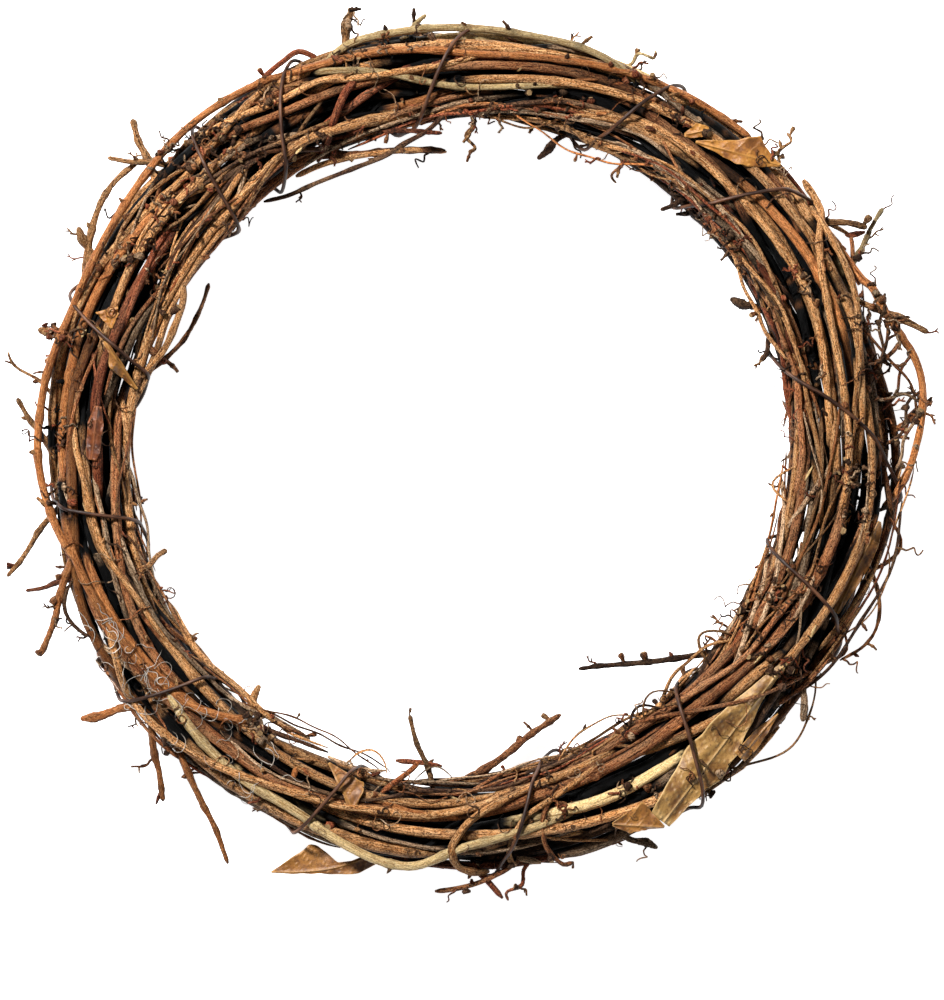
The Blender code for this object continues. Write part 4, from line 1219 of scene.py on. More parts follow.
@dataclass
class Dresser:
    """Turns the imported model's vines into barked canes, and keeps what lies where."""

    vines: list[Vine]
    wire: Array
    crowd: Crowd = field(default_factory=Crowd)
    top: Relief = field(default_factory=Relief)
    under: Relief = field(default_factory=lambda: Relief(up=False))
    bare: Relief = field(default_factory=Relief)
    rng: random.Random = field(default_factory=lambda: random.Random(5))
    canes: dict[str, list[Cane]] = field(default_factory=dict)
    joints: list[tuple] = field(default_factory=list)
    pitch: float = 1.9
    # Painted shade: vines inside the bundle get a much darker tint range than the vines on the
    # front
    shown_tint: Place = (0.6, 1.0)
    inner_shade_tint: Place = (0.12, 0.45)
    shadow: float = 0.7
    shadow_start: float = 0.15
    shadow_depth: float = 1.8
    sunk_shadow: float = 1.05
    sunk_depth: float = 2.6
    coat: float = 0.42
    slim: float = 0.85
    wire_slack: float = 0.3
    wire_reach: float = 1.0
    wire_slope: float = 3.0

    @property
    def sides(self) -> tuple[Relief, Relief]:
        """The front's and the back's relief."""
        return self.top, self.under

    def lay(self, name: str, cane: Cane) -> None:
        """Add a cane to the piece of that name; from now on others rest on it, if it is stout."""
        self.canes.setdefault(name, []).append(cane)
        self.crowd.add(name, cane.line, cane.radius)
        if cane.sides > 6:
            for side in self.sides:
                side.add(cane.line, cane.radius)

    def grow(self, name: str, stem: Stem, tint: float, sides: int, rough: float = 0.02) -> None:
        """Lay a jointed stem, and remember its joints, from which twigs can grow."""
        self.lay(name, Cane(stem.line, stem.radius, sides, tint + stem.shade, rough=rough))
        for at in stem.joints:
            ahead = stem.line[min(at + 1, len(stem.line) - 1)] - stem.line[at - 1]
            self.joints.append((name, stem.line[at], ahead, stem.radius[at], tint))

    def dress_vine(self, vine: Vine) -> None:
        """Give one vine its bark, joints and side twigs."""
        stem = Stem(*vine.smooth(self.pitch)).join(self.rng)
        tint = self.shown_tint if vine.name in FRONT_VINES else self.inner_shade_tint
        self.grow(vine.name, stem, self.rng.uniform(*tint), 10)
        if vine.name in KEPT_VINES:
            self.bare.add(stem.line, stem.radius)
        for points, radii in vine.twigs:
            self.dress_twig(vine.name, np.array([tuple(p) for p in points]), np.array(radii))

    def dress_twig(self, name: str, points: Array, radii: Array) -> None:
        """Give one side twig its bark and a cut end, or a curled tip."""
        flow = curve(np.column_stack([points, radii]), 6 if len(points) > 6 else 10)
        stem = Stem(flow[:, :3], flow[:, 3]).join(self.rng, (6, 14), 0.3, 0.45, 0.6)
        self.grow(name, stem, self.rng.uniform(0.2, 0.6), 8 if radii[0] < self.slim else 9, 0.06)

    def dress_wire(self) -> None:
        """Give the wire its coat, which rests on the ground."""
        radius = self.coat * RING.wire
        self.wire[:, 2] = np.maximum(self.wire[:, 2], radius)
        self.lay("binding_wire_coat", Cane(self.wire, np.full(len(self.wire), radius), 8,
                                           ridge=0.0, rough=0.01, cut=False))

    def held(self, plan: Array, thick: Array, way: int, level: Array) -> Array:
        """Greatest height of canes of this thickness, which the wire holds down.

        Args:
            plan: points along the cane; only their places on the ground matter.
            thick: half the cane's thickness at each.
            way: 1 for the front, -1 for the back, where heights are measured downwards.
            level: the height that each has now; wire that runs clear below it doesn't count.

        Returns:
            The height at each point.
        """
        wire = self.wire[way * (self.wire[:, 2] - RING.middle) > 0]
        apart = np.linalg.norm(plan[:, None, :2] - wire[None, :, :2], axis=2)
        room = way * wire[None, :, 2] - 0.5 * RING.wire - thick[:, None]
        near = apart.argmin(0)
        above = level[near] - room[near, np.arange(len(wire))]
        holds = above < RING.wire + 2 * thick[near] + self.wire_slack
        room += self.wire_slope * np.clip(apart - self.wire_reach, 0, None)
        return room[:, holds].min(1, initial=90.0)

    def hidden(self, points: Array) -> Array:
        """Painted shade: how much darker points are that lie below something, seen from the nearer
        side.
        """
        flat = points.reshape(-1, 3)
        deep = np.minimum(*(side.at(flat) - side.way * flat[:, 2] for side in self.sides))
        share = np.clip((deep - self.shadow_start) / self.shadow_depth, 0, 1)
        return self.shadow * share.reshape(points.shape[:-1])

    def finish(self, name: str, material: bpy.types.Material, slot: str,
               nodes: Iterable[str] = ()) -> None:
        """Roll up a piece, darker where it lies deep, and let it ride on the body in place of its
        nodes.
        """
        skin = Skin(name + "_cane" if name in nodes else name)
        for cane in self.canes.pop(name):
            # Painted shade: a cane sunk between higher ones gets a darker tint, and self.hidden
            # darkens what lies below others
            sunk = np.minimum(*(side.sunk(cane.line, cane.radius) for side in self.sides))
            cane.tint = cane.tint - self.sunk_shadow * np.clip(sunk / self.sunk_depth, 0, 1)
            skin.roll(cane, self.hidden)
        register(skin.finish(material), nodes)


class Shape(Enum):
    """What grows from a joint: how many points its line has, its length and its thickness."""

    BUD = (6, (1.2, 2.6), (0.5, 0.8))
    KNOB = (6, (1.5, 3.5), (0.6, 1.1))
    STUB = (8, (2.0, 5.5), (0.42, 0.8))
    FORK = (14, (3.0, 7.0), (0.36, 0.55))
    CURL = (26, (4.0, 9.0), (0.3, 0.48))

    def __init__(self, points: int, long: Place, thick: Place) -> None:
        """Keep the three under names of their own."""
        self.points, self.long, self.thick = points, long, thick

    @property
    def cut(self) -> bool:
        """Whether its end shows bare wood."""
        return self.name in ("KNOB", "STUB")


@dataclass(frozen=True)
class Stray:
    """A cane that the eye follows on the front, on top of the bundle or standing off its edge."""

    bark: Bark
    diameter: float
    places: tuple[Place, ...]
    tuck: float = 1.5
    free: float = 3.0
    tint: float = 0.6
    crest: float = 30.3


# Front vines that no loose cane may cover
KEPT_VINES = ("vine_straw", "vine_pale_cross", "vine_top_arc", "vine_orange_right")

# Loose canes that the eye follows on the front; the last one crosses the large leaf
STRAYS = (
    Stray(Bark.ORANGE, 3.0, (
        (37, 141), (34.1, 144.9), (31, 145.4), (27.8, 146.4), (25.4, 147.6), (23.6, 149.7),
        (20.2, 150.6), (17.8, 152.2), (15.8, 154), (14, 156), (11.5, 157.2), (9, 157.2),
        (5.2, 155.6), (2, 153.4), (358.9, 150.9), (355.6, 147.1), (353, 142.8)), 2.0, 0.0, 0.85),
    Stray(Bark.BROWN, 1.7, ((16, 153), (14.8, 149.5), (13.7, 144.5), (12.6, 141)), 0.0, 1.0),
    Stray(Bark.BROWN, 1.3, ((27, 146), (22, 151), (17, 149), (13, 143)), 0.5, 0.0, 0.4),
    Stray(Bark.DARK, 1.2, ((21, 152), (18.5, 147), (15, 146), (11, 141)), 0.5, 1.0),
    Stray(Bark.RED_BROWN, 1.2, ((14, 156), (12, 150.5), (9, 148), (7, 142)), 0.3, 0.5, 0.5),
    Stray(Bark.DARK, 1.3, ((9, 157), (7.5, 151), (4, 149), (2, 142)), 0.3, 1.5),
    Stray(Bark.BROWN, 1.1, ((20, 140), (15, 147), (10, 153), (5, 154)), 0.3, 2.0, 0.35),
    Stray(Bark.GREY_BROWN, 1.3, ((6, 155), (3, 149), (0, 147.5), (356, 141)), 0.3, 0.0, 0.7),
    Stray(Bark.DARK, 1.1, ((17, 153), (16.5, 148), (14, 144), (14, 138)), 0.3, 1.0),
    Stray(Bark.TAN, 1.7, ((38, 144), (34.3, 147.8), (32.7, 150.2), (31.3, 152.5)), 0.3, 0.5),
    Stray(Bark.RED_BROWN, 2.6, ((31.8, 151.2), (31.3, 152.5), (30.7, 157.6)), 0.0, 0.5),
    Stray(Bark.BROWN, 1.7, ((31.3, 152.5), (29.9, 150.8), (28, 148), (26, 145)), 0.3, 0.0),
    Stray(Bark.TAN, 2.8, (
        (41, 150), (36.4, 147.9), (32.9, 140.9), (27.9, 134.8), (22, 131.3), (15, 129.5),
        (8, 128.8), (0, 128.2), (352, 127)), 2.0, tint=0.85, crest=31.6),
    Stray(Bark.STRAW, 3.4, (
        (214, 134.5), (220.7, 137.4), (231.4, 139.1), (241.4, 138.7), (248.6, 141.8),
        (255.7, 144.6), (260.7, 143.8), (265.7, 137.4), (270, 133.9), (278, 129.8),
        (285, 127)), 2.0, tint=0.5),
    Stray(Bark.TAN, 3.0, (
        (274, 117), (270, 120.8), (260.7, 126), (253.6, 127.8), (246.4, 131.3), (240, 133.9),
        (234, 137.4), (227, 142.6), (220, 147), (214, 148.3), (208.6, 145.2),
        (203, 141)), 2.0, tint=0.8),
    Stray(Bark.ORANGE, 3.5, (
        (230, 121), (227, 124.3), (221, 132.1), (215.7, 135.6), (209, 139.1), (202, 142.6),
        (195, 145.3), (187, 147), (180, 146.1)), 2.5, tint=0.5),
    Stray(Bark.ORANGE, 2.9, (
        (194, 146), (188, 151), (180, 154.9), (170.5, 154.9), (158.5, 152.7), (144.3, 153.6),
        (130, 154.9), (119.5, 152.7), (113, 149.6), (101.7, 146.1), (90.4, 141.8), (80, 142.6),
        (70, 144.8), (60, 146.6), (50, 147)), 2.0, tint=0.6),
    Stray(Bark.TAN, 2.8, (
        (184, 150), (177, 151), (167.7, 151.9), (154.9, 150), (144.3, 146.1), (135.8, 143),
        (128.7, 145.2), (123.7, 148.3), (118, 151.8)), 2.0, tint=0.7),
    Stray(Bark.TAN, 2.6, (
        (135, 152), (130.8, 150), (125.8, 147), (119.5, 143.9), (113, 143.5), (108.8, 140.4),
        (101.7, 138.2), (94.6, 138.7), (90, 142)), 1.5, tint=0.85),
    Stray(Bark.STRAW, 2.6, (
        (114, 148), (111.6, 146.1), (104.6, 140), (99.6, 134.8), (94.6, 131.3), (90, 130.4),
        (84, 131.5), (76, 135)), 1.5, tint=0.3),
    Stray(Bark.STRAW, 3.0, (
        (111, 150), (106.4, 153.1), (97.9, 152.3), (90, 151.2), (82.9, 149.6), (77.9, 148.8),
        (72.9, 147), (67, 143)), 1.5, tint=0.25),
    Stray(Bark.TAN, 3.0, (
        (70, 131), (57.9, 130.6), (47.1, 129.1), (35.7, 128.6), (25.7, 127.8), (18.6, 125.6),
        (11.4, 123.4), (2, 122)), 2.0, tint=0.9),
    Stray(Bark.TAN, 1.5, ((152, 147), (147, 149.5), (142, 149), (137, 146.5), (133, 143)), 1.0),
    Stray(Bark.GREY_BROWN, 1.2, ((149, 144), (144, 147.5), (139, 150.5), (134, 151)), 1.0),
    Stray(Bark.BROWN, 1.3, ((143, 144), (139, 148), (135, 151.5), (131, 153)), 1.0),
    Stray(Bark.TAN, 2.5, (
        (38, 146), (34.3, 145.2), (25.7, 143.5), (18.6, 139.1), (12.9, 134.8),
        (5, 130)), 2.0, tint=0.7),
    Stray(Bark.TAN, 2.6, (
        (173, 125), (163.4, 120.5), (155, 121), (147.8, 121.3), (140, 121.5),
        (130, 123)), 1.5, tint=0.75),
    Stray(Bark.RED_BROWN, 3.0, (
        (107.5, 142), (108.9, 139.1), (110.6, 136.1), (112.8, 131), (115.6, 124.6),
        (118.7, 120.1)), 2.0, tint=0.45),
    Stray(Bark.TAN, 2.2, (
        (123, 119.5), (118, 118), (110, 114.5), (103, 112), (96.4, 109.8)), 1.0, -2.0, 0.85),
    Stray(Bark.DARK, 1.8, (
        (94, 124), (96.4, 121.2), (99.5, 116.7), (104.4, 113.8), (108.2, 112), (115.3, 112.3),
        (120.8, 113.6), (125.9, 115.3), (130, 119)), 1.0, -2.0, 0.7),
    Stray(Bark.RED_BROWN, 2.2, (
        (112, 152), (114.1, 157.1), (116.7, 155.9), (119.1, 154.2), (120.9, 151.8)), 1.0, 2.0),
    Stray(Bark.TAN, 2.6, (
        (148, 124), (151.8, 118.7), (157.6, 117.5), (161.2, 118.2), (163.4, 120.1),
        (166.6, 123.4)), 1.5, 1.0, 0.6),
    Stray(Bark.TAN, 2.9, (
        (297.8, 112.4), (287.3, 113.2), (277.4, 116.5), (269.4, 124.3), (266.1, 133.3),
        (265.9, 138.2), (266.9, 142.7), (269, 144.6), (271, 144.9)), 2.5, crest=31.6),
    Stray(Bark.TAN, 2.1, (
        (290.9, 113.9), (284.2, 118.8), (280.8, 121.8), (277.2, 125.2), (274.9, 131.4),
        (274, 136.8), (274.1, 140.7), (274.9, 142.6)), crest=31.6),
    Stray(Bark.BROWN, 1.8, (
        (283.7, 118.5), (281.3, 121.4), (279.9, 126.1), (279.5, 129.9), (279.5, 135.6),
        (280.3, 140.5), (281.6, 144.7), (283, 145)), crest=31.6),
    Stray(Bark.GREY_BROWN, 2.3, ((275, 140.5), (276.7, 141.7), (278.4, 143.3)), 0.0, tint=0.8),
    Stray(Bark.TAN, 2.2, ((298.5, 119.6), (294.6, 121.2), (291.7, 122.1)), 0.0, tint=0.75),
    Stray(Bark.BROWN, 2.2, ((259.4, 141.6), (262.2, 136.4), (264.7, 130), (267, 127)), 1.0),
    Stray(Bark.ORANGE, 3.2, (
        (253.5, 124.1), (257.8, 126), (261.5, 125.6), (264.7, 124.8), (267.3, 125.1)), 0.5),
    Stray(Bark.PEELED, 2.2, ((253.3, 121.7), (255.2, 116.6), (257.5, 111.2), (258.6, 107.8)), 0.3),
    Stray(Bark.RED_BROWN, 2.0, ((254, 109.8), (258.6, 108.4), (262.6, 108.4)), 0.3),
    Stray(Bark.ORANGE, 2.3, ((239, 123.5), (239.4, 127.7), (239.7, 131)), 0.0),
    Stray(Bark.BROWN, 1.9, ((263.9, 152.9), (267.5, 150.6), (271.5, 146.9), (276, 141)), 0.8),
    Stray(Bark.RED_BROWN, 2.4, (
        (268.5, 140.8), (269.9, 145.6), (271.2, 149.1), (272.8, 154.5)), 0.5),
    Stray(Bark.BROWN, 1.6, (
        (299, 106), (301.3, 107.3), (305.6, 110.1), (309.7, 114.6), (313.7, 119.1),
        (317.2, 123.6), (321.5, 129.3), (325, 134.2), (327.4, 137.6)), 1.0, crest=31.6),
)

# Where small dark curls and stubs stand close together on the front
TUFTS = ((68, 145), (59, 140), (47, 150), (28.6, 152), (13, 147), (8, 150), (4, 146), (1, 150),
         (24, 148), (21, 150), (17, 148), (15, 151), (11, 152), (6, 152), (9, 146), (12, 142),
         (148, 143), (144, 141), (140, 142), (136, 142), (132, 141), (128, 144), (105.8, 163.5),
         (105.8, 161), (163.5, 157.5), (163.5, 154), (152, 144), (121, 149), (116, 122),
         (68.6, 113), (63, 113), (48, 115), (41, 115.5), (29, 125), (76, 128), (127, 138),
         (125, 133), (130, 148), (136, 154), (101, 150), (108, 146), (201, 157), (230, 122),
         (239, 150), (268, 149), (245, 115), (335, 116), (331, 106), (326, 119), (331, 143),
         (274, 150), (299, 105), (295, 128), (283, 123), (325, 130), (358, 134), (357, 128),
         (352, 134), (185, 150), (176, 148), (150, 130), (20, 148), (88, 121), (92, 118),
         (17, 121), (308, 142))

# Fine fibres: how many, bearings, bark, half thickness, length, and the rest of Loose.fibres
FIBRES = (
    (40, (203, 217), Bark.STRAW, (0.1, 0.18), (6, 18), 6.0, 0.45, 0.5),
    (26, (217, 238), Bark.STRAW, (0.1, 0.16), (5, 14), 2.0, 0.2, 0.5),
    (90, (0, 360), Bark.DARK, (0.16, 0.32), (5, 16), 3.0),
    (50, (0, 360), Bark.BROWN, (0.16, 0.3), (8, 24)),
    (24, (0, 360), Bark.GREY_BROWN, (0.14, 0.26), (6, 18)),
)


@dataclass
class Loose:
    """Thin vines, crossing canes, stubs, buds, tendrils and fibres between the traced vines."""

    dresser: Dresser
    thin_count: int = 8
    cross_count: int = 230
    edge_count: int = 56
    under_count: int = 26
    ceiling: float = 31.6
    degree: float = 2.27
    fall_rounds: int = 220
    press_rounds: int = 30
    fibre_steps: int = 26
    barks: tuple[Bark, ...] = (
        *4 * (Bark.TAN,), *3 * (Bark.BROWN,), *2 * (Bark.GREY_BROWN,), Bark.RED_BROWN, Bark.DARK,
        Bark.ORANGE)
    rng: random.Random = field(default_factory=lambda: random.Random(41))

    def thin_vines(self) -> None:
        """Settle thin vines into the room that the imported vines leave."""
        rng = self.rng
        thin = []
        for index in range(self.thin_count):
            stations = rng.randint(8, 30)
            first = rng.randrange(RING.planes)
            radius = np.linspace(1, 0.7, stations) * 0.5 * rng.uniform(1.3, 2.5)
            angle = rng.uniform(0.15, 0.85) * math.pi if index % 3 else rng.uniform(0, math.tau)
            twist = rng.choice((-1, 1)) * rng.uniform(0.05, 0.35)
            sways = [(0.2, rng.uniform(0, math.tau), 1.1)]
            home = wander((first, stations), (angle, twist), rng.uniform(0.75, 1.0), sways,
                          (0.0, 0.48))
            bark = rng.choice((Bark.TAN, Bark.BROWN, Bark.GREY_BROWN, Bark.DARK))
            thin.append(Vine("thin", bark, first, radius, home))
        Settling(soft_rounds=120, hard_rounds=60).run(self.dresser.vines + thin,
                                                      len(self.dresser.vines))
        for vine in thin:
            stem = Stem(*vine.smooth(2.4)).join(rng, (25, 60), 0.25, 0.5)
            self.dresser.grow(f"loose_{vine.bark.value}", stem, rng.uniform(0.25, 0.6), 7, 0.05)

    def over(self, bearings: Array, radii: Array, thick: Array, way: int, tuck: float,
             free: float = 3.0, crest: Optional[float] = None) -> Optional[Array]:
        """Lay a cane over the front or the back, pulled down on what it crosses.

        Args:
            bearings: bearing of each point of it.
            radii: radius round the ring of each point.
            thick: half its thickness at each point.
            way: 1 for the front, -1 for the back.
            tuck: how far its ends go down between the other vines.
            free: least height above the bundle's middle, where nothing carries it.
            crest: greatest height of its top, to which it is pressed down.

        Returns:
            Its middle line, or nothing where it would stand up too far or cover what shows.
        """
        dresser = self.dresser
        relief = dresser.top if way > 0 else dresser.under
        plan = RING.spots(bearings, radii, np.zeros(len(radii)))
        if way > 0 and not crest and dresser.bare.at(plan).max() > 0:
            return None
        floor = np.maximum(relief.at(plan) + 0.9 * thick, way * RING.middle + free)
        start, end = floor[0] - tuck, floor[-1] - tuck
        level = np.maximum(floor, np.linspace(start, end, len(floor)))
        sink = np.zeros(len(floor))
        sink[:3] = sink[-3:] = tuck
        sink[3:5] = sink[-5:-3] = 0.5 * tuck
        for _ in range(self.fall_rounds):
            level[1:-1] = 0.5 * (level[:-2] + level[2:])
            level[0], level[-1] = start, end
            level = np.maximum(level, floor - sink)
        top = (crest or self.ceiling if way > 0 else -0.4) - thick
        if not crest and (level > top + 0.6).any():
            return None
        level = np.minimum(level, top)
        held = dresser.held(plan, thick, way, level)
        for _ in range(self.press_rounds):
            level = np.minimum(level, held)
            level[1:-1] = 0.25 * level[:-2] + 0.5 * level[1:-1] + 0.25 * level[2:]
        plan[:, 2] = way * level
        return plan

    def build(self) -> None:
        """Lay everything that is loose, in order, since each part rests on those before it."""
        self.strays()
        self.crossing(self.cross_count, 1)
        self.crossing(self.under_count, -1)
        self.edges()
        self.stubs()
        self.tufts()
        self.flakes()
        for row in FIBRES:
            self.fibres(*row)

    def strays(self) -> None:
        """Lay the canes that the eye follows, which nothing later may cover."""
        for stray in STRAYS:
            knots = np.array(stray.places)
            knots[:, 0] = np.degrees(np.unwrap(np.radians(knots[:, 0])))
            way = RING.spots(knots[:, 0], knots[:, 1], np.zeros(len(knots)))
            steps = max(2, round(lengths(way)[-1] / len(way) / 1.5))
            flow = curve(knots, steps)
            thick = np.linspace(0.5, 0.42, len(flow)) * stray.diameter
            tuck = stray.tuck if stray.crest > 31 else max(stray.tuck, 1.3 * stray.diameter)
            line = self.over(flow[:, 0], flow[:, 1], thick, 1, tuck, stray.free, stray.crest)
            stem = Stem(line, thick).join(self.rng, (12, 30), 0.25, 0.3, 2.0)
            self.dresser.grow(f"loose_{stray.bark.value}", stem, stray.tint, 10)
            shown = slice(len(thick) // 8, -len(thick) // 8)
            self.dresser.bare.add(stem.line[shown], stem.radius[shown])

    def crossing(self, count: int, way: int) -> None:
        """Lay canes of many lengths slantwise over the front or the back."""
        rng = self.rng
        laid = tries = 0
        while laid < count and tries < 30 * count:
            tries += 1
            start = rng.uniform(0, 360)
            span = rng.choice((9, 14, 20, 28, 40)) * rng.uniform(0.8, 1.2)
            inner, outer = RING.band(start)
            here = rng.uniform(inner + 1, outer - 1)
            end_inner, end_outer = RING.band(start + span)
            drift = rng.choice((-1, 1)) * rng.uniform(0.12, 0.9) * span ** 0.4 * 6.5
            there = min(max(here + drift, end_inner + 1), end_outer - 1)
            points = max(12, int(span * self.degree / 2.0))
            share = np.linspace(0, 1, points)
            bulge = rng.uniform(-1, 1) * 0.09 * span
            radii = here + (there - here) * share + bulge * np.sin(math.pi * share)
            wave = rng.uniform(0.2, 0.8)
            radii += wave * np.sin(math.tau * share * span / 17 + rng.uniform(0, 6))
            size = rng.choice((0.8, 1.0, 1.3, 1.6, 2.0, 2.4)) * rng.uniform(0.9, 1.1)
            if self.loose_cane(start + span * share, radii, size, way, rng.uniform(1.5, 4.0), 3.0):
                laid += 1
        LOG.info("laid %d crossing canes in %d tries", laid, tries)

    def edges(self) -> None:
        """Let thin canes stand a little off the outer and the inner edge of the bundle."""
        rng = self.rng
        for index in range(self.edge_count):
            start, span = rng.uniform(0, 360), rng.choice((8, 13, 19, 26)) * rng.uniform(0.8, 1.2)
            outer_side = index % 5 > 1
            share = np.linspace(0, 1, max(10, int(span * self.degree / 1.8)))
            inner, outer = RING.band(start + span * share)
            bulge = rng.uniform(0.5, 3.8) + rng.uniform(3, 7)
            off = bulge * np.sin(math.pi * share) ** rng.uniform(0.5, 1.2) - rng.uniform(3, 5)
            off += 0.35 * np.sin(share * span * 0.7 + rng.uniform(0, 6))
            radii = outer + off if outer_side else inner - off
            size = rng.choice((0.7, 0.9, 1.2, 1.6)) * rng.uniform(0.9, 1.1)
            self.loose_cane(start + span * share, radii, size, 1, rng.uniform(1, 3),
                            rng.uniform(-7, 6))

    def loose_cane(self, bearings: Array, radii: Array, size: float, way: int, tuck: float,
                   free: float) -> bool:
        """Lay one loose cane with a bark of its own, and say whether it found room."""
        rng = self.rng
        thick = np.linspace(0.5, 0.36, len(radii)) * size
        line = self.over(bearings, radii, thick, way, tuck, free)
        if line is None:
            return False
        stem = Stem(line, thick).join(rng, (14, 38), 0.35, 0.4, 5.0)
        bark = rng.choice(self.barks)
        tint = rng.uniform(*rng.choice(((0.1, 0.4), (0.4, 0.8), (0.7, 1.1))))
        self.dresser.grow(f"loose_{bark.value}", stem, tint, 8, 0.05)
        return True

    def stubs(self, chance: float = 0.75) -> None:
        """Grow buds, cut stubs and tendrils from the joints that lie at the surface."""
        rng, dresser = self.rng, self.dresser
        grown = 0
        for name, point, along, radius, tint in list(dresser.joints):
            if rng.random() > chance:
                continue
            bearing, across = RING.around(point[None])
            inner, outer = RING.band(bearing[0])
            share = (across[0] - 0.5 * (inner + outer)) / (0.5 * (outer - inner))
            radial = np.array([math.cos(math.radians(bearing[0])),
                               math.sin(math.radians(bearing[0])), 0])
            along = along / np.linalg.norm(along)
            up = (point[2] - RING.middle) / (0.5 * RING.depth)
            way = radial * share * 0.9 + np.array([0, 0, 1]) * up * 0.5
            way += along * rng.uniform(-1.2, 1.2) + 0.3 * np.array([rng.gauss(0, 1) for _ in "xyz"])
            way /= np.linalg.norm(way)
            shape = rng.choice(list(Shape) if radius > 0.6 else (Shape.BUD, Shape.KNOB, Shape.CURL))
            long = rng.uniform(*shape.long)
            thick = min(rng.uniform(*shape.thick), 0.8 * radius)
            parts = self.sprout(point, way, long + radius, thick, shape)
            line, size = parts[0]
            half = len(line) // 2
            if (line[:, 2] + size > self.ceiling).any() or (line[:, 2] - size < 0.3).any():
                continue
            if len(line) > 9 and dresser.crowd.clearance(line[half:], size[half:], name) < 0:
                continue
            grown += 1
            for line, size in parts:
                bark = rng.choice((Bark.BROWN, Bark.BROWN, Bark.DARK, Bark.RED_BROWN, Bark.TAN))
                dresser.lay(f"loose_{bark.value}", Cane(
                    line, size, 6, tint * rng.uniform(0.3, 0.9), 0.1, 0.08, cut=shape.cut))
        LOG.info("grew %d stubs from %d joints", grown, len(dresser.joints))

    def tufts(self, each: int = 12) -> None:
        """Set small curls, forks and stubs close together where the front is most tangled."""
        rng, relief = self.rng, self.dresser.top
        for bearing, across in TUFTS:
            for _ in range(each):
                spot = (bearing + rng.gauss(0, 1.4), across + rng.gauss(0, 3))
                point = np.array(RING.spot(*spot, 0))
                ground = relief.at(point[None])[0]
                if ground < RING.middle - 8:
                    continue
                shape = rng.choice((Shape.CURL, Shape.CURL, Shape.FORK, Shape.FORK, Shape.STUB,
                                    Shape.KNOB))
                turn = rng.uniform(0, math.tau)
                way = np.array([math.cos(turn), math.sin(turn), rng.uniform(-0.2, 0.2)])
                thick = rng.uniform(*shape.thick)
                parts = self.sprout(point, way, rng.uniform(*shape.long) * 0.8, thick, shape)
                bark = rng.choice((Bark.DARK, Bark.DARK, Bark.BROWN, Bark.GREY_BROWN,
                                   Bark.RED_BROWN))
                for line, size in parts:
                    line[:, 2] += ground
                    floor = np.where(relief.at(line) > RING.middle, relief.at(line) + 0.5 * size, 0)
                    line[:, 2] = np.clip(line[:, 2], floor, self.ceiling - size)
                    self.dresser.lay(f"loose_{bark.value}", Cane(
                        line, size, 6, rng.uniform(0.1, 0.8), 0.05, 0.08, cut=shape.cut))

    def sprout(self, point: Array, way: Array, long: float, thick: float,
               shape: Shape) -> list[tuple[Array, Array]]:
        """Lines and thicknesses of a bud, stub or tendril that starts inside its vine."""
        rng = self.rng
        share = np.linspace(0, 1, shape.points)
        side = np.cross(way, (0.2, 0.1, 1))
        side /= np.linalg.norm(side)
        other = np.cross(way, side)
        bend = rng.uniform(-1, 1) * long
        line = point + way * (long * share)[:, None]
        parts = []
        if shape is Shape.BUD:
            size = thick * np.array([1, 1, 1.25, 1.3, 0.9, 0.35])
        elif shape is Shape.KNOB:
            line += side * (0.2 * bend * share ** 2)[:, None]
            size = thick * np.array([0.9, 0.85, 1.15, 1.5, 1.6, 1.25])
        elif shape is Shape.STUB:
            line += side * (0.3 * bend * share ** 2)[:, None]
            line += other * (0.3 * np.sin(7 * share))[:, None]
            size = thick * np.array([1.4, 1.1, 0.85, 0.95, 1.25, 0.9, 0.8, 0.75])
        elif shape is Shape.FORK:
            line += side * (0.5 * bend * share ** 2 + 0.5 * np.sin(8 * share))[:, None]
            size = thick * (1 - 0.35 * share)
            for start in (6, 10):
                tip = line[start] + way * long * 0.22 + side * rng.choice((-1, 1)) * long * 0.2
                twig = np.linspace(line[start], tip, 5) + other * 0.2
                parts.append((twig, size[start] * np.array([1, 0.9, 0.8, 0.7, 0.6])))
        else:
            turns, wide = rng.uniform(0.6, 2.2), rng.uniform(0.8, 2.2)
            grip = wide * np.clip(share * 1.6 - 0.35, 0, 1)
            angle = math.tau * turns * share ** 1.6 + 0.3 * np.sin(17 * share)
            line += side * (grip * np.sin(angle) + 0.2 * bend * share)[:, None]
            line += other * (grip * (1 - np.cos(angle)))[:, None]
            size = thick * (1 - 0.4 * share)
        return [(line, size)] + parts

    def fibres(self, count: int, span: Place, bark: Bark, thick: Place, long: Place,
               beyond: float = 2.0, low: float = 0.0, curl: float = 1.0) -> None:
        """Scatter fine curled fibres over the front.

        Args:
            count: how many.
            span: bearings between which they start.
            bark: their colour.
            thick: least and greatest half thickness.
            long: least and greatest length.
            beyond: how far off the bundle they may reach.
            low: share of the bundle's width, from its inner edge, that stays free of them.
            curl: how much they curl, 1 for close curls.
        """
        rng, relief = self.rng, self.dresser.top
        laid = tries = 0
        while laid < count and tries < 12 * count:
            tries += 1
            bearing = rng.uniform(*span)
            inner, outer = RING.band(bearing)
            across = rng.uniform(inner + 1 + low * (outer - inner), outer - 0.5)
            start, steps = RING.spot(bearing, across, 0), self.fibre_steps
            heading, bend = rng.uniform(0, math.tau), curl * rng.uniform(-0.25, 0.25)
            pace = rng.uniform(*long) / steps
            points, turns = [(start.x, start.y, 0.0)], curl * rng.uniform(0.06, 0.3)
            for _ in range(steps - 1):
                bend = min(max(0.9 * bend + rng.gauss(0, turns), -0.6 * curl), 0.6 * curl)
                heading += bend
                x, y, _ = points[-1]
                points.append((x + pace * math.cos(heading), y + pace * math.sin(heading), 0.0))
            line = np.array(points)
            marks, across = RING.around(line)
            inner, outer = RING.band(marks)
            if (across > outer + beyond).any() or (across < inner - 0.6 * beyond).any():
                continue
            size = np.linspace(1, 0.6, steps) * rng.uniform(*thick)
            floor = np.maximum(relief.at(line) + size, RING.middle - rng.uniform(0, 6))
            level = floor.copy()
            for _ in range(30):
                level[1:-1] = 0.5 * (level[:-2] + level[2:])
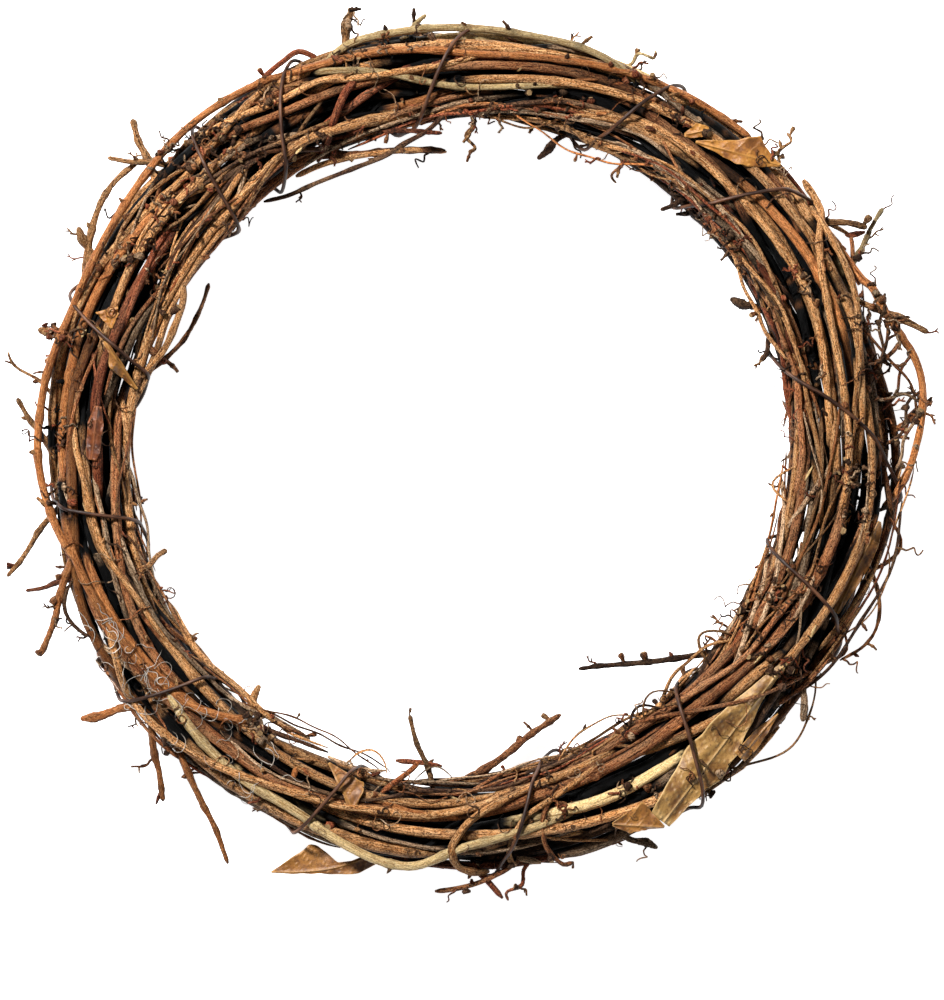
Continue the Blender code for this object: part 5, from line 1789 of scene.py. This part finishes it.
                level = np.maximum(level, floor)
            line[:, 2] = level + rng.uniform(0.1, 1.0) * np.sin(np.linspace(0, 3, steps)) ** 2
            if (line[:, 2] > self.ceiling).any():
                continue
            laid += 1
            self.dresser.lay(f"fibres_{bark.value}", Cane(line, size, 5, rng.uniform(0.3, 0.9),
                                                          0.0, 0.1, cut=False))

    def flakes(self, count: int = 60) -> None:
        """Let short splinters of peeled bark stand off the vines on the front."""
        rng, dresser = self.rng, self.dresser
        for _ in range(count):
            bearing = rng.uniform(0, 360)
            inner, outer = RING.band(bearing)
            across, long = rng.uniform(inner + 2, outer - 2), rng.uniform(3, 9)
            share = np.linspace(-0.5, 0.5, 7)
            bearings = bearing + np.degrees(share * long / across)
            radii = across + rng.uniform(-0.5, 0.5) * long * share
            thick = np.array([0.3, 0.8, 1, 0.95, 0.8, 0.6, 0.3]) * rng.uniform(0.4, 0.8)
            line = self.over(bearings, radii, 0.4 * thick, 1, 0.0)
            if line is None:
                continue
            line[:, 2] += rng.uniform(0, 1.2) * np.clip(share + 0.1, 0, 1) * 1.6
            bark = rng.choice((Bark.PEELED, Bark.ORANGE, Bark.STRAW, Bark.TAN))
            dresser.lay(f"loose_{bark.value}", Cane(line, thick, 6, rng.uniform(0.4, 0.9), 0.05,
                                                    0.05, flat=0.35))


def register(item: bpy.types.Object, nodes: Iterable[str] = ()) -> None:
    """Let a piece ride on the body and stand for its nodes."""
    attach(item, "root")
    if nodes:
        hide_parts(*nodes)
    LOG.info("%s: %d faces", item.name, len(item.data.polygons))


@dataclass
class Studio:
    """Pale floor, soft lights and the camera that looks straight down, as in the photograph."""

    centre: Place = (0.0005, -0.0159)
    focus: float = 0.025
    distance: float = 1.5
    frame_height: float = 0.35
    glow: float = 0.92
    ambient: float = 0.12
    sensor: float = 36.0
    lights: tuple = (("key", (-0.7, 0.85, 1.25), 0.22, 62), ("fill", (0.9, -0.5, 1.6), 1.4, 3))

    def floor(self) -> None:
        """Lay the plain pale floor."""
        shape = bmesh.new()
        bmesh.ops.create_grid(shape, x_segments=1, y_segments=1, size=4.0)
        shader = Shader("floor_pale")
        place = shader.add("ShaderNodeTexCoord", {}, {}, "Object")
        grain = shader.noise(place, 900.0, 2.0)
        shader.feed("Base Color", shader.mix(grain, (246, 246, 246), (250, 250, 250)))
        shader.feed("Roughness", 0.9)
        shader.feed("Emission Color", (1, 1, 1, 1))
        shader.feed("Emission Strength", self.glow)
        as_object("floor", shape, shader.material)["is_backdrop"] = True

    def light(self, name: str, place: tuple, size: float, watts: float) -> None:
        """Hang one soft light that faces the wreath."""
        lamp = bpy.data.lights.new(name, "AREA")
        lamp.shape, lamp.size, lamp.energy = "DISK", size, watts
        item = bpy.data.objects.new(name, lamp)
        item.location = place
        item.rotation_euler = (-Vector(place)).to_track_quat("-Z", "Y").to_euler()
        bpy.context.scene.collection.objects.link(item)

    def build(self) -> None:
        """Set up the floor, the lights and the camera."""
        self.floor()
        for light in self.lights:
            self.light(*light)
        world = bpy.data.worlds.new("studio")
        bpy.context.scene.world = world
        world.use_nodes = True
        backdrop = world.node_tree.nodes["Background"]
        backdrop.inputs["Color"].default_value = (1, 1, 1, 1)
        backdrop.inputs["Strength"].default_value = self.ambient
        bpy.context.scene.view_settings.view_transform = "Standard"
        camera = bpy.data.cameras.new("camera")
        camera.sensor_fit, camera.sensor_height = "VERTICAL", self.sensor
        camera.lens = self.sensor * self.distance / self.frame_height
        item = bpy.data.objects.new("camera", camera)
        item.location = (*self.centre, self.focus + self.distance)
        bpy.context.scene.collection.objects.link(item)
        bpy.context.scene.camera = item


@dataclass
class Foliage:
    """The dry leaves and the strip of bark, draped again in fine detail."""

    dresser: Dresser
    fine: int = 5
    thickness: float = 0.35
    wave: float = 0.3
    rib_width: float = 0.4
    vein_gap: float = 4.6
    vein_slant: float = 0.13
    curl: float = 0.9
    ruffle: float = 0.3

    def surface(self, leaf: Leaf, height: Array) -> tuple[Array, int, int]:
        """Fine grid of points over a leaf.

        Args:
            leaf: the leaf.
            height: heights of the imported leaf's points.

        Returns:
            The points, and how many rows and columns they have.
        """
        dresser = self.dresser
        coarse = height.reshape(leaf.rows, leaf.columns)
        tall = curve(coarse, self.fine)
        wide = curve(tall.T, 2 * self.fine).T
        rows, columns = wide.shape
        plan = leaf.plan(rows, columns, self.wave)
        way = 1 if leaf.over else -1
        level = way * wide.ravel()
        floor = (dresser.top if leaf.over else dresser.under).at(plan) + 0.7
        held = dresser.held(plan, np.full(len(plan), 0.9), way, level)
        for _ in range(20):
            level = np.minimum(np.maximum(level, floor), held)
            grid = level.reshape(rows, columns)
            soft = np.pad(grid, 1, mode="edge")
            soft = 0.25 * (soft[:-2, 1:-1] + soft[2:, 1:-1] + soft[1:-1, :-2] + soft[1:-1, 2:])
            level = (0.5 * grid + 0.5 * soft).ravel()
        return np.column_stack([plan, way * level]), rows, columns

    def build(self, leaf: Leaf, height: Array) -> bpy.types.Object:
        """Make one leaf as a thin closed sheet with veins and a curled rim."""
        points, rows, columns = self.surface(leaf, height)
        rng = np.random.default_rng(sum(map(ord, leaf.name)))
        phase = rng.uniform(0, math.tau, 4)
        span = (RING.spot(*leaf.tip, 0) - RING.spot(*leaf.root, 0)).length
        grid = points.reshape(rows, columns, 3)
        off = np.linalg.norm((grid - grid[:, columns // 2, None])[..., :2], axis=2)
        skin = Skin(leaf.name + "_dry")
        for vert, row, column in skin.grid(rows - 1, columns - 1):
            along, across = row / (rows - 1), 2 * column / (columns - 1) - 1
            beside = off[row, column]
            rib = math.exp(-(beside / self.rib_width) ** 2)
            slant = self.vein_slant * beside
            veins = math.cos(math.tau * (along * span / self.vein_gap - slant))
            rib = max(rib, 0.7 * max(0.0, veins) ** 16)
            wide = min(1.0, off[row, -1 if across > 0 else 0] / 5)
            curl = self.curl * abs(across) ** 3 * math.sin(2.3 * along * math.tau + phase[0])
            ruffle = self.ruffle * math.sin(5 * along * math.tau + phase[1]) * abs(across)
            lift = (curl + ruffle) * wide + 0.2 * rib
            vert.co = grid[row, column] * MM
            vert.co.z += lift * MM
            vert[skin.grain] = (along * span + phase[2] * 30, math.copysign(beside, across),
                                phase[3] * 30)
            vert[skin.tint] = rib
            vert[skin.wood] = max(abs(across), abs(2 * along - 1))
        bmesh.ops.recalc_face_normals(skin.shape, faces=skin.shape.faces[:])
        bmesh.ops.solidify(skin.shape, geom=skin.shape.faces[:], thickness=self.thickness * MM)
        bmesh.ops.recalc_face_normals(skin.shape, faces=skin.shape.faces[:])
        for relief in (*self.dresser.sides, self.dresser.bare):
            relief.add(points, np.full(len(points), 0.45))
        self.dresser.crowd.add(leaf.name, points[::3], np.full(len(points[::3]), 0.45))
        return as_object(skin.name, skin.shape, LEAF_FINISHES[leaf.tone].material())


def lay_packed() -> tuple[list[Vine], dict[str, Array], Array]:
    """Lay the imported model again: its vines with their twigs, its leaves' heights, its wire."""
    vines = Bundle().build()
    crowd = Crowd()
    for vine in vines:
        crowd.add(vine.name, *dense(vine.line(), vine.radius, 16))
    heights = {}
    for leaf in LEAVES:
        heights[leaf.name] = leaf.drape(crowd)
        balls = leaf.balls(heights[leaf.name])
        crowd.add(leaf.name, balls, np.full(len(balls), 0.5 * leaf.thickness))
    below = [leaf.name for leaf in LEAVES if not leaf.over]
    corners = Winding().line(crowd, below)
    crowd.add("binding_wire", *dense(corners, np.full(len(corners), 0.5 * RING.wire), 8))
    for twig in TWIGS:
        free, vine, points, radii = twig.settle(vines, crowd)
        if free > 0.5 * RING.gap:
            crowd.add(vine.name, *dense(points, radii, 6))
            vine.twigs.append((points, radii))
    LOG.info("laid %d vines", len(vines))
    return vines, heights, curve(corners, 4)


def main() -> None:
    """Build the dressed wreath, piece by piece."""
    logging.basicConfig(level=logging.INFO, format="%(name)s: %(message)s")
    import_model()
    Studio().build()
    vines, heights, wire = lay_packed()
    dresser = Dresser(vines, wire)
    for vine in vines:
        for side in dresser.sides:
            side.add(*dense(vine.line(), vine.radius, 16))
    for vine in vines:
        dresser.dress_vine(vine)
    loose = Loose(dresser)
    loose.thin_vines()
    foliage = Foliage(dresser)
    for leaf in LEAVES:
        register(foliage.build(leaf, heights[leaf.name]), [leaf.name])
    loose.build()
    barks = {bark: finish.material() for bark, finish in BARK_FINISHES.items()}
    fibre = FIBRE_FINISH.material()
    slots = {bark.value: bark for bark in Bark}
    for name in list(dresser.canes):
        vine = next((vine for vine in vines if vine.name == name), None)
        bark = vine.bark if vine else slots[name.split("_", 1)[1]]
        pale = name.startswith("fibres") and bark is Bark.STRAW
        dresser.finish(name, fibre if pale else barks[bark], bark.value, [name] if vine else ())
    dresser.dress_wire()
    dresser.finish("binding_wire_coat", WireFinish().material(), "wire_brown", ["binding_wire"])


if __name__ == "__main__":
    main()
